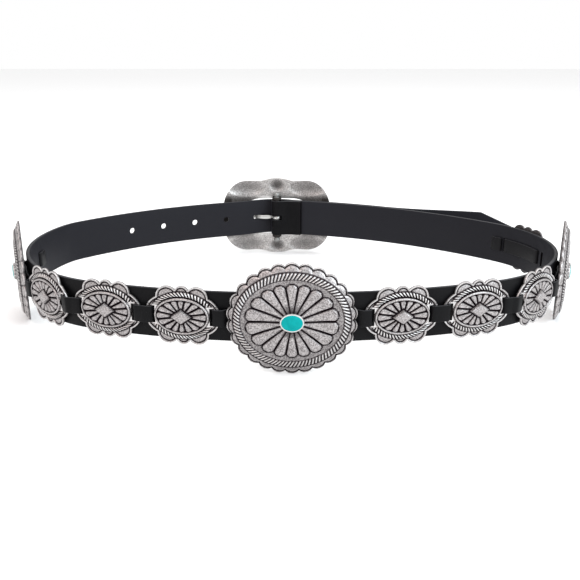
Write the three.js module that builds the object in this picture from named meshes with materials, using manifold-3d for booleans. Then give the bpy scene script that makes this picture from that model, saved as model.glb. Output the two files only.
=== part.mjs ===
// A concho belt, buckled into the loop in which it is worn and standing on its lower edge.
// Millimetres, +Z up, the large front concho faces -Y and the buckle is at +Y.
// A black leather strap carries scalloped silver conchos. A narrow leather lace weaves through slots
// in the small conchos and slits in the strap, and runs through a bridge behind each large concho.
import * as THREE from 'three';
import { mergeVertices } from 'three/addons/utils/BufferGeometryUtils.js';
import Module from 'manifold-3d';

const wasm = await Module();
wasm.setup();

// Clearance that pieces keep where they touch.
const GAP = 0.3;

// Leather strap and lace.
const STRAP_WIDTH = 30;
const STRAP_THICKNESS = 2.4;
const LACE_WIDTH = 10;
const LACE_THICKNESS = 1.4;

// The strap's loop seen from above, over its middle surface.
const LOOP_WIDTH = 365;
const LOOP_DEPTH = 249;

// Large conchos, out to the tips of their scallops.
const BIG_WIDTH = 75.5;
const BIG_HEIGHT = 67.6;
const BIG_DOME = 6.7;
const BIG_SCALLOPS = 26;
const BIG_SCALLOP_DEPTH = 2.6;
const BIG_PETALS = 18;
const STONE_WIDTH = 12.4;
const STONE_HEIGHT = 9.6;
const STONE_DOME = 1;
const BEZEL_WALL = 0.6;
const BEZEL_RISE = 0.9;
const BRIDGE_LENGTH = 6;
const BRIDGE_THICKNESS = 1;
const BRIDGE_POST = 1.6;
const BRIDGE_DROP = 0.6;

// Small conchos.
const SMALL_WIDTH = 45.5;
const SMALL_HEIGHT = 36;
const SMALL_DOME = 4.6;
const SMALL_PETALS = 16;
const SLOT_WIDTH = 3.3;
const SLOT_SPARE = 0.6;
const END_BAR = 3.05;
const DIAMOND_WIDTH = 11.4;
const DIAMOND_HEIGHT = 7.9;
const DIAMOND_RISE = 1.0;

// Metal of both kinds of concho at the rim.
const RIM_THICKNESS = 1.4;
const PETAL_GROOVE = 0.7;
const ROPE_RISE = 1;

// Free strap between neighbouring conchos.
const BIG_TO_SMALL = 2.8;
const SMALL_TO_SMALL = 1.8;
const SMALL_TO_SIDE = 0.5;

// The small concho past the right side's large one is half hidden behind its rim.
const TUCKED_STEP = 49.5;

// Buckle.
const FRAME_WIDTH = 95.6;
const FRAME_HEIGHT = 67.6;
const FRAME_SIDE_BAR = 5.5;
const FRAME_THICKNESS = 2.2;
const FRAME_RISE = 2.4;
const WINDOW_SPARE = 0.9;
const BAR_RADIUS = 2.2;
const BAR_HEAD_RADIUS = 2.7;
const LUG_WALL = 1.4;
const LUG_HEIGHT = 2.6;
const PRONG_WIDTH = 3.4;
const PRONG_THICKNESS = 1.8;

// Strap ends: the flap that is folded back round the bar, and the free end past the buckle.
const FLAP_LENGTH = 22;
const FREE_END_LIES = 92;
const TIP_TAPER = 30;
const TIP_WIDTH = 5;
const HOLE_COUNT = 5;
const HOLE_PITCH = 28.2;
const HOLE_RADIUS = 2.4;
const PRONG_REACH = 17.5;

// Lace ends, on the inside of the strap.
const LACE_TAB = 8;
const LEFT_SLIT_BEHIND_CONCHO = 13;
const RIGHT_SLIT_PAST_CONCHO = 6.5;
const SLIT_SPARE = 0.8;

// Longest step between two sections of the strap and the lace.
const STEP = 9;

const leather = new THREE.MeshStandardMaterial({ color: 0x1b1a1c, roughness: 0.62, metalness: 0 });
const laceLeather = new THREE.MeshStandardMaterial({ color: 0x121213, roughness: 0.5, metalness: 0 });
const silver = new THREE.MeshStandardMaterial({ color: 0xa9a5a1, roughness: 0.38, metalness: 1 });
const buckleSilver = new THREE.MeshStandardMaterial({ color: 0x9b9791, roughness: 0.45, metalness: 1 });
const pinMetal = new THREE.MeshStandardMaterial({ color: 0xb9b8b5, roughness: 0.25, metalness: 1 });
const turquoise = new THREE.MeshStandardMaterial({ color: 0x10bdb6, roughness: 0.3, metalness: 0 });

// The loop as tangent arcs, anticlockwise seen from above from the front centre. turn is in degrees.
// Radii are shares of LOOP_DEPTH. The two back radii follow from the others, so that the loop closes.
const ARCS = [
  { name: 'front right', radius: 1.8, turn: 18.2 },
  { name: 'shoulder right', radius: 0.45, turn: 49.8 },
  { name: 'side right', radius: 0.34, turn: 70 },
  { name: 'back right', radius: null, turn: 32 },
  { name: 'at the bar', radius: 0.246, turn: 20 },
  { name: 'back left', radius: null, turn: 34.1 },
  { name: 'side left', radius: 0.182, turn: 22.4 },
  { name: 'shoulder left', radius: 0.45, turn: 95.3 },
  { name: 'front left', radius: 1.8, turn: 18.2 },
];

// The strap's loop as a three.js curve in the plan, from the front centre round by the right side.
class LoopCurve extends THREE.Curve {
  constructor() {
    super();
    this.arcLengthDivisions = 4000;
    this.scale = new THREE.Vector2(1, 1);
    this.arcs = closedArcs();
    const box = new THREE.Box2().setFromPoints(this.getPoints(1440));
    const size = box.getSize(new THREE.Vector2());
    this.scale.set(LOOP_WIDTH / size.x, LOOP_DEPTH / size.y);
  }

  getPoint(t, target = new THREE.Vector2()) {
    const heading = t * 2 * Math.PI;
    const arc = this.arcs.findLast((a) => heading >= a.from) ?? this.arcs[0];
    return target.set(
      (arc.start.x + arc.radius * (Math.sin(heading) - Math.sin(arc.from))) * this.scale.x,
      (arc.start.y + arc.radius * (Math.cos(arc.from) - Math.cos(heading))) * this.scale.y,
    );
  }
}

// Gives each arc its start point and heading, and solves the two open radii.
function closedArcs() {
  let heading = 0;
  const arcs = ARCS.map(({ radius, turn }) => {
    const from = heading;
    heading += THREE.MathUtils.degToRad(turn);
    return {
      radius,
      from,
      across: Math.sin(heading) - Math.sin(from),
      along: Math.cos(from) - Math.cos(heading),
    };
  });
  const [p, q] = arcs.filter((a) => a.radius === null);
  const set = arcs.filter((a) => a.radius !== null);
  const across = -set.reduce((sum, a) => sum + a.radius * a.across, 0);
  const along = -set.reduce((sum, a) => sum + a.radius * a.along, 0);
  const det = p.across * q.along - q.across * p.along;
  p.radius = (across * q.along - q.across * along) / det;
  q.radius = (p.across * along - across * p.along) / det;
  const start = new THREE.Vector2();
  for (const arc of arcs) {
    arc.start = start.clone();
    start.x += arc.radius * arc.across;
    start.y += arc.radius * arc.along;
  }
  return arcs;
}

const loop = new LoopCurve();
const LOOP_LENGTH = loop.getLength();
const BAR_AT = lengthTo(0.5);

// Arc length from the front centre to the curve's own parameter t.
function lengthTo(t) {
  const lengths = loop.getLengths();
  return lengths[Math.round(t * (lengths.length - 1))];
}

// Point of the plan at arc length u from the front centre, positive to the right, and moved outwards.
// angle turns a piece that faces -Y so that it faces outwards there.
function onLoop(u, out = 0) {
  const share = THREE.MathUtils.euclideanModulo(u / LOOP_LENGTH, 1);
  const tangent = loop.getTangentAt(share);
  const point = loop.getPointAt(share);
  point.x += tangent.y * out;
  point.y -= tangent.x * out;
  return { point, angle: Math.atan2(tangent.y, tangent.x) };
}

// Turns a place given along and outwards from a spot on the loop into a point of the plan.
function fromSpot(u, along, out) {
  return fromPlace(onLoop(u), along, out);
}

// Plan points over a stretch of the loop, out being a number or a function of u.
function stretch(from, to, out, step = STEP) {
  const count = Math.max(1, Math.ceil(Math.abs(to - from) / step));
  return Array.from({ length: count + 1 }, (_, i) => {
    const u = from + ((to - from) * i) / count;
    return onLoop(u, typeof out === 'function' ? out(u) : out).point;
  });
}

function smooth(x, from, to) {
  return THREE.MathUtils.smoothstep(Math.abs(x), from, to);
}

// A band that stands on edge along a line of the plan, as one closed body.
function band(line, thickness, width) {
  const points = line.filter((p, i) => i === 0 || p.distanceTo(line[i - 1]) > 0.05);
  const sections = points.map((p, i) => {
    const before = (points[i - 1] ?? p).clone();
    const after = (points[i + 1] ?? p).clone();
    const into = p.clone().sub(before).normalize();
    const away = after.clone().sub(p).normalize();
    const along = into.clone().add(away).normalize();
    const mitre = 1 / Math.max(0.5, Math.sqrt((1 + (i > 0 && i < points.length - 1 ? into.dot(away) : 1)) / 2));
    const side = new THREE.Vector2(along.y, -along.x).multiplyScalar((thickness / 2) * mitre);
    const outer = p.clone().add(side);
    const inner = p.clone().sub(side);
    return [
      new THREE.Vector3(inner.x, inner.y, -width / 2),
      new THREE.Vector3(outer.x, outer.y, -width / 2),
      new THREE.Vector3(outer.x, outer.y, width / 2),
      new THREE.Vector3(inner.x, inner.y, width / 2),
    ];
  });
  return skin(sections);
}

// Joins closed loops of points into one closed body, with a flat cap on the first and the last.
// Neighbouring loops may have different numbers of points: they are zipped by their share of the way round.
function skin(loops, { closed = false } = {}) {
  const positions = loops.flatMap((ring) => ring.flatMap((p) => [p.x, p.y, p.z]));
  const starts = [];
  loops.reduce((sum, ring) => {
    starts.push(sum);
    return sum + ring.length;
  }, 0);
  const faces = [];
  const zip = (a, b) => {
    const n = loops[a].length;
    const m = loops[b].length;
    let i = 0;
    let j = 0;
    while (i < n || j < m) {
      const low = [starts[a] + (i % n), starts[b] + (j % m)];
      if (j >= m || (i < n && (i + 1) / n <= (j + 1) / m)) {
        faces.push(low[0], starts[a] + ((i + 1) % n), low[1]);
        i += 1;
      } else {
        faces.push(low[0], starts[b] + ((j + 1) % m), low[1]);
        j += 1;
      }
    }
  };
  for (let k = 0; k + 1 < loops.length; k += 1) zip(k, k + 1);
  if (closed) {
    zip(loops.length - 1, 0);
  } else {
    cap(loops[0], starts[0], faces, true);
    cap(loops.at(-1), starts.at(-1), faces, false);
  }
  const geometry = new THREE.BufferGeometry();
  geometry.setAttribute('position', new THREE.Float32BufferAttribute(positions, 3));
  geometry.setIndex(faces);
  return facingOut(geometry);
}

// Closes a loop with triangles across it, worked out in the plane that the loop lies nearest to.
function cap(ring, start, faces, first) {
  const normal = new THREE.Vector3();
  ring.forEach((p, i) => normal.add(p.clone().cross(ring[(i + 1) % ring.length])));
  const axis = ['x', 'y', 'z'].reduce((a, b) => (Math.abs(normal[a]) >= Math.abs(normal[b]) ? a : b));
  const [h, v] = { x: ['y', 'z'], y: ['z', 'x'], z: ['x', 'y'] }[axis];
  const flat = ring.map((p) => new THREE.Vector2(p[h], p[v]));
  const positive = THREE.ShapeUtils.area(flat) > 0;
  for (const [a, b, c] of THREE.ShapeUtils.triangulateShape(flat, [])) {
    const flip = (first === true) === positive;
    faces.push(start + a, start + (flip ? c : b), start + (flip ? b : c));
  }
}

// Turns the faces round if they point inwards.
function facingOut(geometry) {
  const position = geometry.getAttribute('position');
  const index = geometry.getIndex().array;
  const [a, b, c] = [new THREE.Vector3(), new THREE.Vector3(), new THREE.Vector3()];
  let volume = 0;
  for (let i = 0; i < index.length; i += 3) {
    a.fromBufferAttribute(position, index[i]);
    b.fromBufferAttribute(position, index[i + 1]);
    c.fromBufferAttribute(position, index[i + 2]);
    volume += a.dot(b.cross(c));
  }
  if (volume < 0) {
    const turned = Array.from(index);
    for (let i = 0; i < turned.length; i += 3) [turned[i + 1], turned[i + 2]] = [turned[i + 2], turned[i + 1]];
    geometry.setIndex(turned);
  }
  return geometry;
}

function toSolid(geometry) {
  const bare = geometry.clone();
  bare.deleteAttribute('normal');
  bare.deleteAttribute('uv');
  const merged = mergeVertices(bare, 1e-4);
  return new wasm.Manifold(new wasm.Mesh({
    numProp: 3,
    vertProperties: Float32Array.from(merged.getAttribute('position').array),
    triVerts: Uint32Array.from(merged.getIndex().array),
  }));
}

function fromSolid(solid) {
  const { vertProperties, triVerts } = solid.getMesh();
  const geometry = new THREE.BufferGeometry();
  geometry.setAttribute('position', new THREE.Float32BufferAttribute(vertProperties, 3));
  geometry.setIndex(Array.from(triVerts));
  return geometry;
}

// Adds some bodies to a body, then cuts others out of it.
function combine(geometry, { add = [], cut = [] }) {
  let solid = toSolid(geometry);
  for (const g of add) solid = solid.add(toSolid(g));
  for (const g of cut) solid = solid.subtract(toSolid(g));
  return fromSolid(solid);
}

function boxAt(sizeX, sizeY, sizeZ, x = 0, y = 0, z = 0) {
  return new THREE.BoxGeometry(sizeX, sizeY, sizeZ).translate(x, y, z);
}

// Places a body made in the frame of a spot on the loop: x along the strap, -y outwards, z up.
function atSpot(geometry, u) {
  const { point, angle } = onLoop(u);
  return geometry.rotateZ(angle).translate(point.x, point.y, 0);
}

// Places of the conchos along the strap.
const BIG_STEP = BIG_WIDTH / 2 + BIG_TO_SMALL + SMALL_WIDTH / 2;
const SMALL_STEP = SMALL_WIDTH + SMALL_TO_SMALL;
const SIDE_STEP = BIG_WIDTH / 2 + SMALL_TO_SIDE + SMALL_WIDTH / 2;
const SIDE_AT = BIG_STEP + 2 * SMALL_STEP + SIDE_STEP;
const TUCKED_AT = SIDE_AT + TUCKED_STEP;
// turn is how far a large concho sits from square to the strap, in degrees.
const SIDE_LIFT = 1.6;
const BIG_CONCHOS = [
  { name: 'front', at: 0, turn: 0, lift: 0 },
  { name: 'right', at: SIDE_AT, turn: -9, lift: SIDE_LIFT },
  { name: 'left', at: -SIDE_AT, turn: 7, lift: SIDE_LIFT },
];
const SMALL_CONCHOS = [
  { name: 'right_1', at: BIG_STEP },
  { name: 'right_2', at: BIG_STEP + SMALL_STEP },
  { name: 'right_3', at: BIG_STEP + 2 * SMALL_STEP },
  { name: 'right_4', at: TUCKED_AT },
  { name: 'left_1', at: -BIG_STEP },
  { name: 'left_2', at: -BIG_STEP - SMALL_STEP },
  { name: 'left_3', at: -BIG_STEP - 2 * SMALL_STEP },
];

// Distances outwards from the strap's middle surface.
const STRAP_FACE = STRAP_THICKNESS / 2;
const CONCHO_SEAT = STRAP_FACE + GAP;
const LACE_OUTSIDE = STRAP_FACE + GAP + LACE_THICKNESS / 2;
const LACE_OVER_BAR = CONCHO_SEAT + RIM_THICKNESS + GAP + LACE_THICKNESS / 2;
const LACE_OVER_BRIDGE = CONCHO_SEAT + BRIDGE_THICKNESS + GAP + LACE_THICKNESS / 2;
const BIG_SEAT = CONCHO_SEAT + BRIDGE_DROP;

// Slots of a small concho, from its middle.
const SLOT_OUTER = SMALL_WIDTH / 2 - END_BAR;
const SLOT_MIDDLE = SLOT_OUTER - SLOT_WIDTH / 2;

// Distances at the buckle's bar, outwards from the strap's middle surface.
const LAYER = STRAP_THICKNESS + GAP;
const BAR_OUT = -LAYER / 2;
const FOLD_RADIUS = BAR_RADIUS + GAP + STRAP_THICKNESS / 2;
const FOLD_RUN = 13;
const FREE_OVER_BAR = BAR_OUT + FOLD_RADIUS + LAYER;

// Where the lace dives through the strap at its two ends.
const LEFT_SLIT_AT = -(SIDE_AT + BIG_WIDTH / 2 - LEFT_SLIT_BEHIND_CONCHO);
const RIGHT_SLIT_AT = TUCKED_AT + SMALL_WIDTH / 2 + RIGHT_SLIT_PAST_CONCHO;

// Place and angle of a large concho, and a plan point given in its own frame.
function bigPlace({ at, turn, lift }) {
  const { point, angle } = onLoop(at, BIG_SEAT + lift);
  return { point, angle: angle + THREE.MathUtils.degToRad(turn) };
}
function fromPlace({ point, angle }, along, out) {
  const c = Math.cos(angle);
  const s = Math.sin(angle);
  return new THREE.Vector2(point.x + along * c + out * s, point.y + along * s - out * c);
}

// A loop of points on an ellipse in the face of a concho, from its top. out is the height of a point.
function ellipse(halfWidth, halfHeight, count, out) {
  return Array.from({ length: count }, (_, i) => {
    const t = Math.PI / 2 + (2 * Math.PI * i) / count;
    const x = halfWidth * Math.cos(t);
    const z = halfHeight * Math.sin(t);
    return new THREE.Vector3(x, -(typeof out === 'function' ? out(x, z) : out), z);
  });
}

// The same for petals: crests and grooves in turn, with the grooves drawn in by a share and lower.
function petals(halfWidth, halfHeight, count, out, drawnIn, groove) {
  return Array.from({ length: 2 * count }, (_, i) => {
    const t = Math.PI / 2 + (Math.PI * i) / count;
    const share = i % 2 ? 1 - drawnIn : 1;
    const height = i % 2 ? out - groove : out;
    return new THREE.Vector3(halfWidth * share * Math.cos(t), -height, halfHeight * share * Math.sin(t));
  });
}

// Outline of a large concho: round lobes on an ellipse. Each lobe is given by shares of its way and depth.
const LOBE = [
  { way: -0.5, depth: 0 },
  { way: -0.22, depth: 1 },
  { way: 0.22, depth: 1 },
];
function bigOutline(out) {
  const halfWidth = BIG_WIDTH / 2 - BIG_SCALLOP_DEPTH;
  const halfHeight = BIG_HEIGHT / 2 - BIG_SCALLOP_DEPTH;
  const points = [];
  for (let i = 0; i < BIG_SCALLOPS; i += 1) {
    for (const { way, depth } of LOBE) {
      const t = Math.PI / 2 + (2 * Math.PI * (i + way + 0.5)) / BIG_SCALLOPS - Math.PI / BIG_SCALLOPS;
      const normal = new THREE.Vector2(Math.cos(t) * halfHeight, Math.sin(t) * halfWidth).normalize();
      const reach = BIG_SCALLOP_DEPTH * depth;
      points.push(new THREE.Vector3(
        halfWidth * Math.cos(t) + normal.x * reach,
        -out,
        halfHeight * Math.sin(t) + normal.y * reach,
      ));
    }
  }
  return points;
}

// Rings of a large concho from its middle to the rim, as shares of its half width, half height and dome.
const BIG_RING = {
  petalInner: { wide: 0.22, high: 0.2, out: 1 },
  petalOuter: { wide: 0.7, high: 0.655, out: 0.82 },
  field: { wide: 0.73, high: 0.685, out: 0.68 },
  ropeInner: { wide: 0.79, high: 0.725, out: 0.65 },
  ropeCrest: { wide: 0.84, high: 0.79, out: 0.57 },
  ropeOuter: { wide: 0.885, high: 0.855, out: 0.48 },
  hollowRim: { wide: 0.86, high: 0.82, out: 0.04 },
  hollowSide: { wide: 0.64, high: 0.59, out: 0.42 },
  hollowTop: { wide: 0.24, high: 0.22, out: 0.7 },
};

function bigConcho() {
  const ring = (name, count, extra = 0) => {
    const { wide, high, out } = BIG_RING[name];
    return ellipse((wide * BIG_WIDTH) / 2, (high * BIG_HEIGHT) / 2, count, out * BIG_DOME + extra);
  };
  const petalRing = (name, drawnIn) => {
    const { wide, high, out } = BIG_RING[name];
    return petals((wide * BIG_WIDTH) / 2, (high * BIG_HEIGHT) / 2, BIG_PETALS, out * BIG_DOME, drawnIn, PETAL_GROOVE);
  };
  const bezel = (wall, out) => ellipse(STONE_WIDTH / 2 + GAP + wall, STONE_HEIGHT / 2 + GAP + wall, 16, out);
  const shell = skin([
    bezel(0, BIG_DOME - GAP),
    bezel(0, BIG_DOME + BEZEL_RISE),
    bezel(BEZEL_WALL, BIG_DOME + BEZEL_RISE),
    bezel(BEZEL_WALL, BIG_DOME - PETAL_GROOVE),
    petalRing('petalInner', 0),
    petalRing('petalOuter', 0.06),
    ring('field', 32),
    ring('ropeInner', 32),
    ring('ropeCrest', 32, ROPE_RISE),
    ring('ropeOuter', 32),
    bigOutline(RIM_THICKNESS),
    bigOutline(0),
    ring('hollowRim', 24),
    ring('hollowSide', 24),
    ring('hollowTop', 16),
  ]);
  // The bridge behind the dome, under which the lace runs: a bar on two posts.
  const post = BIG_DOME * 0.8;
  const postAt = LACE_WIDTH / 2 + GAP + BRIDGE_POST / 2;
  const span = 2 * postAt + BRIDGE_POST;
  const bar = boxAt(BRIDGE_LENGTH, BRIDGE_THICKNESS, span, 0, BRIDGE_DROP - BRIDGE_THICKNESS / 2, 0);
  const posts = [-postAt, postAt].map((z) => boxAt(BRIDGE_LENGTH, post, BRIDGE_POST, 0, BRIDGE_DROP - post / 2, z));
  return combine(shell, { add: [bar, ...posts] });
}

// The turquoise cabochon in the bezel, domed.
function stone() {
  const oval = (share, out) => ellipse((STONE_WIDTH / 2) * share, (STONE_HEIGHT / 2) * share, 16, out);
  const girdle = BIG_DOME + BEZEL_RISE;
  return skin([
    oval(1, BIG_DOME),
    oval(1, girdle),
    oval(0.72, girdle + STONE_DOME * 0.7),
    oval(0.3, girdle + STONE_DOME),
  ]);
}

// Corners between the lobes of a small concho, as shares of its half width and half height, from the top
// round to the left. bulge is each lobe's height over its chord, as a share of the half height.
const SMALL_CORNERS = [
  { x: 0.176, z: 0.861, bulge: 0.134, steps: 4 },
  { x: -0.176, z: 0.861, bulge: 0.24, steps: 5 },
  { x: -0.686, z: 0.6, bulge: null, steps: 6 },
  { x: -0.686, z: -0.6, bulge: 0.24, steps: 5 },
  { x: -0.176, z: -0.861, bulge: 0.134, steps: 4 },
  { x: 0.176, z: -0.861, bulge: 0.24, steps: 5 },
  { x: 0.686, z: -0.6, bulge: null, steps: 6 },
  { x: 0.686, z: 0.6, bulge: 0.24, steps: 5 },
];
function smallOutline(out) {
  const corners = SMALL_CORNERS.map(({ x, z }) => (
    new THREE.Vector2((x * SMALL_WIDTH) / 2, (z * SMALL_HEIGHT) / 2)
  ));
  return SMALL_CORNERS.flatMap(({ bulge, steps, x }, k) => {
    const from = corners[k];
    const chord = corners[(k + 1) % corners.length].clone().sub(from);
    // A lobe with no bulge of its own is an end lobe, which reaches to the concho's full width.
    const rise = bulge === null ? (SMALL_WIDTH / 2) * (1 - Math.abs(x)) : (bulge * SMALL_HEIGHT) / 2;
    const normal = new THREE.Vector2(chord.y, -chord.x).normalize();
    const radius = ((chord.length() / 2) ** 2 + rise ** 2) / (2 * rise);
    const middle = from.clone().addScaledVector(chord, 0.5).addScaledVector(normal, rise - radius);
    const half = Math.asin(Math.min(1, chord.length() / 2 / radius));
    const reach = rise > radius ? Math.PI - half : half;
    return Array.from({ length: steps }, (_, i) => {
      const turn = reach * ((2 * i) / steps - 1);
      const p = middle.clone()
        .addScaledVector(normal, radius * Math.cos(turn))
        .addScaledVector(chord.clone().normalize(), radius * Math.sin(turn));
      return new THREE.Vector3(p.x, -out, p.y);
    });
  });
}

// Rings of a small concho, as shares of its half width, half height and dome. The rope is only above
// and below the petals, so it sinks into the flange beside the slots.
const SMALL_RING = {
  petalInner: { wide: 0.27, high: 0.24, out: 0.98 },
  petalOuter: { wide: 0.66, high: 0.52, out: 0.72 },
  border: { wide: 0.72, high: 0.62, out: 0.7 },
  ropeCrest: { wide: 0.84, high: 0.72, out: 0.3 },
  hollowRim: { wide: 0.6, high: 0.6, out: 0.0 },
  hollowTop: { wide: 0.3, high: 0.3, out: 0.4 },
};
const ROPE_ENDS_AT = 0.42;

function smallConcho() {
  const ring = (name, count, extra = () => 0) => {
    const { wide, high, out } = SMALL_RING[name];
    const height = (x, z) => out * SMALL_DOME + extra(x, z);
    return ellipse((wide * SMALL_WIDTH) / 2, (high * SMALL_HEIGHT) / 2, count, height);
  };
  const petalRing = (name, drawnIn) => {
    const { wide, high, out } = SMALL_RING[name];
    return petals((wide * SMALL_WIDTH) / 2, (high * SMALL_HEIGHT) / 2, SMALL_PETALS, out * SMALL_DOME, drawnIn, PETAL_GROOVE);
  };
  const rope = (x, z) => (Math.abs(z) > (ROPE_ENDS_AT * SMALL_HEIGHT) / 2 ? ROPE_RISE : 0);
  const diamond = (share, out) => ellipse((DIAMOND_WIDTH / 2) * share, (DIAMOND_HEIGHT / 2) * share, 4, out);
  const shell = skin([
    diamond(0.9, SMALL_DOME + DIAMOND_RISE),
    diamond(1, SMALL_DOME + DIAMOND_RISE * 0.7),
    diamond(1, SMALL_DOME - PETAL_GROOVE),
    petalRing('petalInner', 0),
    petalRing('petalOuter', 0.05),
    ring('border', 24),
    ring('ropeCrest', 24, rope),
    smallOutline(RIM_THICKNESS),
    smallOutline(0),
    ring('hollowRim', 16),
    ring('hollowTop', 16),
  ]);
  const slotHeight = LACE_WIDTH + SLOT_SPARE;
  const slots = [-SLOT_MIDDLE, SLOT_MIDDLE].map((x) => boxAt(SLOT_WIDTH, 4 * SMALL_DOME, slotHeight, x, 0, 0));
  return combine(shell, { cut: slots });
}

// Outwards distance of the free strap near the bar: it rises over the folded end, then lies on the fixed layer.
const RISE_FROM = 6;
const RISE_TO = 38;
const LIE_FROM = 4;
const LIE_TO = 18;

// The strap's line: flap, fold round the bar, the whole loop, over the bar, and the free end.
function strapLine() {
  const nearBar = (u) => BAR_AT - u;
  const flapOut = (u) => -LAYER - (FOLD_RADIUS - LAYER / 2) * (1 - smooth(nearBar(u), 2, FOLD_RUN));
  const fixedOut = (u) => (BAR_OUT + FOLD_RADIUS) * (1 - smooth(nearBar(u), 2, FOLD_RUN));
  const flap = stretch(BAR_AT - FLAP_LENGTH, BAR_AT, flapOut, 3);
  const fold = [];
  for (let turn = -60; turn <= 60; turn += 30) {
    const a = THREE.MathUtils.degToRad(turn);
    fold.push(fromSpot(BAR_AT, FOLD_RADIUS * Math.cos(a), BAR_OUT + FOLD_RADIUS * Math.sin(a)));
  }
  const fixed = stretch(BAR_AT, BAR_AT - FOLD_RUN, fixedOut, 3);
  const facets = Math.ceil((BAR_AT - FOLD_RUN) / STEP);
  const facet = (BAR_AT - FOLD_RUN) / (facets + 0.5);
  const right = Array.from({ length: facets }, (_, i) => onLoop(facet * (facets - i - 0.5)).point);
  const leftEnd = BAR_AT - LOOP_LENGTH + RISE_TO;
  const left = stretch(-facet / 2, leftEnd, 0);
  const rising = (u) => FREE_OVER_BAR * (1 - smooth(u - (BAR_AT - LOOP_LENGTH), RISE_FROM, RISE_TO));
  const over = stretch(leftEnd, BAR_AT - LOOP_LENGTH, rising, 5);
  const lying = (u) => LAYER + (FREE_OVER_BAR - LAYER) * (1 - smooth(nearBar(u), LIE_FROM, LIE_TO));
  const free = stretch(BAR_AT, BAR_AT - LIE_TO, lying, 6);
  const lies = stretch(BAR_AT - LIE_TO, BAR_AT - FREE_END_LIES, LAYER);
  return [flap, fold, fixed, right, left, over, free, lies, freeEnd()].flat();
}

// The free end's last stretches, which spring away from the loop. turn is in degrees, outwards positive.
const SPRING = [
  { length: 42, turn: 15 },
  { length: 72, turn: -6 },
];
function freeEnd() {
  const { point, angle } = onLoop(BAR_AT - FREE_END_LIES, LAYER);
  const at = point.clone();
  let heading = angle + Math.PI;
  return SPRING.flatMap(({ length, turn }) => {
    const count = Math.ceil(length / STEP);
    const bend = THREE.MathUtils.degToRad(turn) / count;
    return Array.from({ length: count }, () => {
      heading += bend;
      at.x += (length / count) * Math.cos(heading - bend / 2);
      at.y += (length / count) * Math.sin(heading - bend / 2);
      return at.clone();
    });
  });
}

// Cuts the free end to a point: two wedges taken off above and below.
function tipCuts() {
  const [before, tip] = freeEnd().slice(-2);
  const along = tip.clone().sub(before).normalize();
  const angle = Math.atan2(along.y, along.x);
  const past = 4;
  const wedge = new THREE.Shape([
    new THREE.Vector2(-TIP_TAPER, STRAP_WIDTH / 2),
    new THREE.Vector2(past, TIP_WIDTH / 2 - (past * (STRAP_WIDTH - TIP_WIDTH)) / 2 / TIP_TAPER),
    new THREE.Vector2(past, STRAP_WIDTH),
    new THREE.Vector2(-TIP_TAPER, STRAP_WIDTH),
  ]);
  const depth = 6 * STRAP_THICKNESS;
  return [1, -1].map((side) => {
    const g = new THREE.ExtrudeGeometry(wedge, { depth, bevelEnabled: false }).translate(0, 0, -depth / 2);
    return g.rotateX((side * Math.PI) / 2).rotateZ(angle).translate(tip.x, tip.y, 0);
  });
}

// The lace passes the strap on a straight line, square to the concho it comes from. reach is its length
// outwards and inwards from the strap's middle.
function passage(at, along, reach) {
  const { point, angle } = onLoop(at);
  const outwards = new THREE.Vector2(Math.sin(angle), -Math.cos(angle));
  const through = onLoop(at + along).point;
  const fall = point.clone().sub(through).dot(outwards);
  return [fall + reach, -reach].map((d) => through.clone().addScaledVector(outwards, d));
}

// A slit for the lace where it passes the strap.
function slit(at, along = 0) {
  return band(passage(at, along, LAYER), LACE_THICKNESS + 2 * SLIT_SPARE, LACE_WIDTH + SLOT_SPARE);
}

function mainStrap() {
  const line = strapLine();
  const body = band(line, STRAP_THICKNESS, STRAP_WIDTH);
  const slits = SMALL_CONCHOS.flatMap(({ at }) => [slit(at, -SLOT_MIDDLE), slit(at, SLOT_MIDDLE)]);
  const ends = [LEFT_SLIT_AT, -LEFT_SLIT_AT, RIGHT_SLIT_AT].map((at) => slit(at));
  const barAtLeft = BAR_AT - LOOP_LENGTH;
  const holes = Array.from({ length: HOLE_COUNT - 1 }, (_, i) => {
    const hole = new THREE.CylinderGeometry(HOLE_RADIUS, HOLE_RADIUS, 4 * STRAP_THICKNESS, 10);
    return atSpot(hole, barAtLeft + PRONG_REACH + (i + 1) * HOLE_PITCH);
  });
  // The hole in use is drawn out by the prong, and the fold has a slot for the prong's eye.
  const hole = boxAt(8, 4 * STRAP_THICKNESS, PRONG_WIDTH + 2 * GAP, 0, -FREE_OVER_BAR, 0);
  const used = atSpot(hole, barAtLeft + PRONG_REACH);
  const slotDepth = 2 * FOLD_RADIUS + STRAP_THICKNESS + 2 * GAP;
  const eyeReach = BAR_RADIUS + GAP + PRONG_THICKNESS;
  const slotLength = FOLD_RADIUS + STRAP_THICKNESS + eyeReach;
  const slot = boxAt(slotLength, slotDepth - GAP, PRONG_WIDTH + 2 * GAP, (FOLD_RADIUS + STRAP_THICKNESS - eyeReach) / 2, -BAR_OUT, 0);
  return combine(body, { cut: [...slits, ...ends, ...holes, used, atSpot(slot, BAR_AT), ...tipCuts()] });
}

// The lace's dive through a slit, from its run at top to its run on the inside. Each run lies on the side
// of the slit that is given, 1 being along the strap and -1 back.
function dive(at, along, top, outsideTo, insideTo) {
  const bend = LACE_THICKNESS * 0.8;
  const [high] = passage(at, along, top - bend);
  const [, low] = passage(at, along, LACE_OUTSIDE - GAP);
  const outside = fromSpot(at, along + outsideTo * bend, top);
  const inside = onLoop(at + along + insideTo * 2 * bend, -LACE_OUTSIDE).point;
  return [outside, high, low, inside];
}

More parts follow.
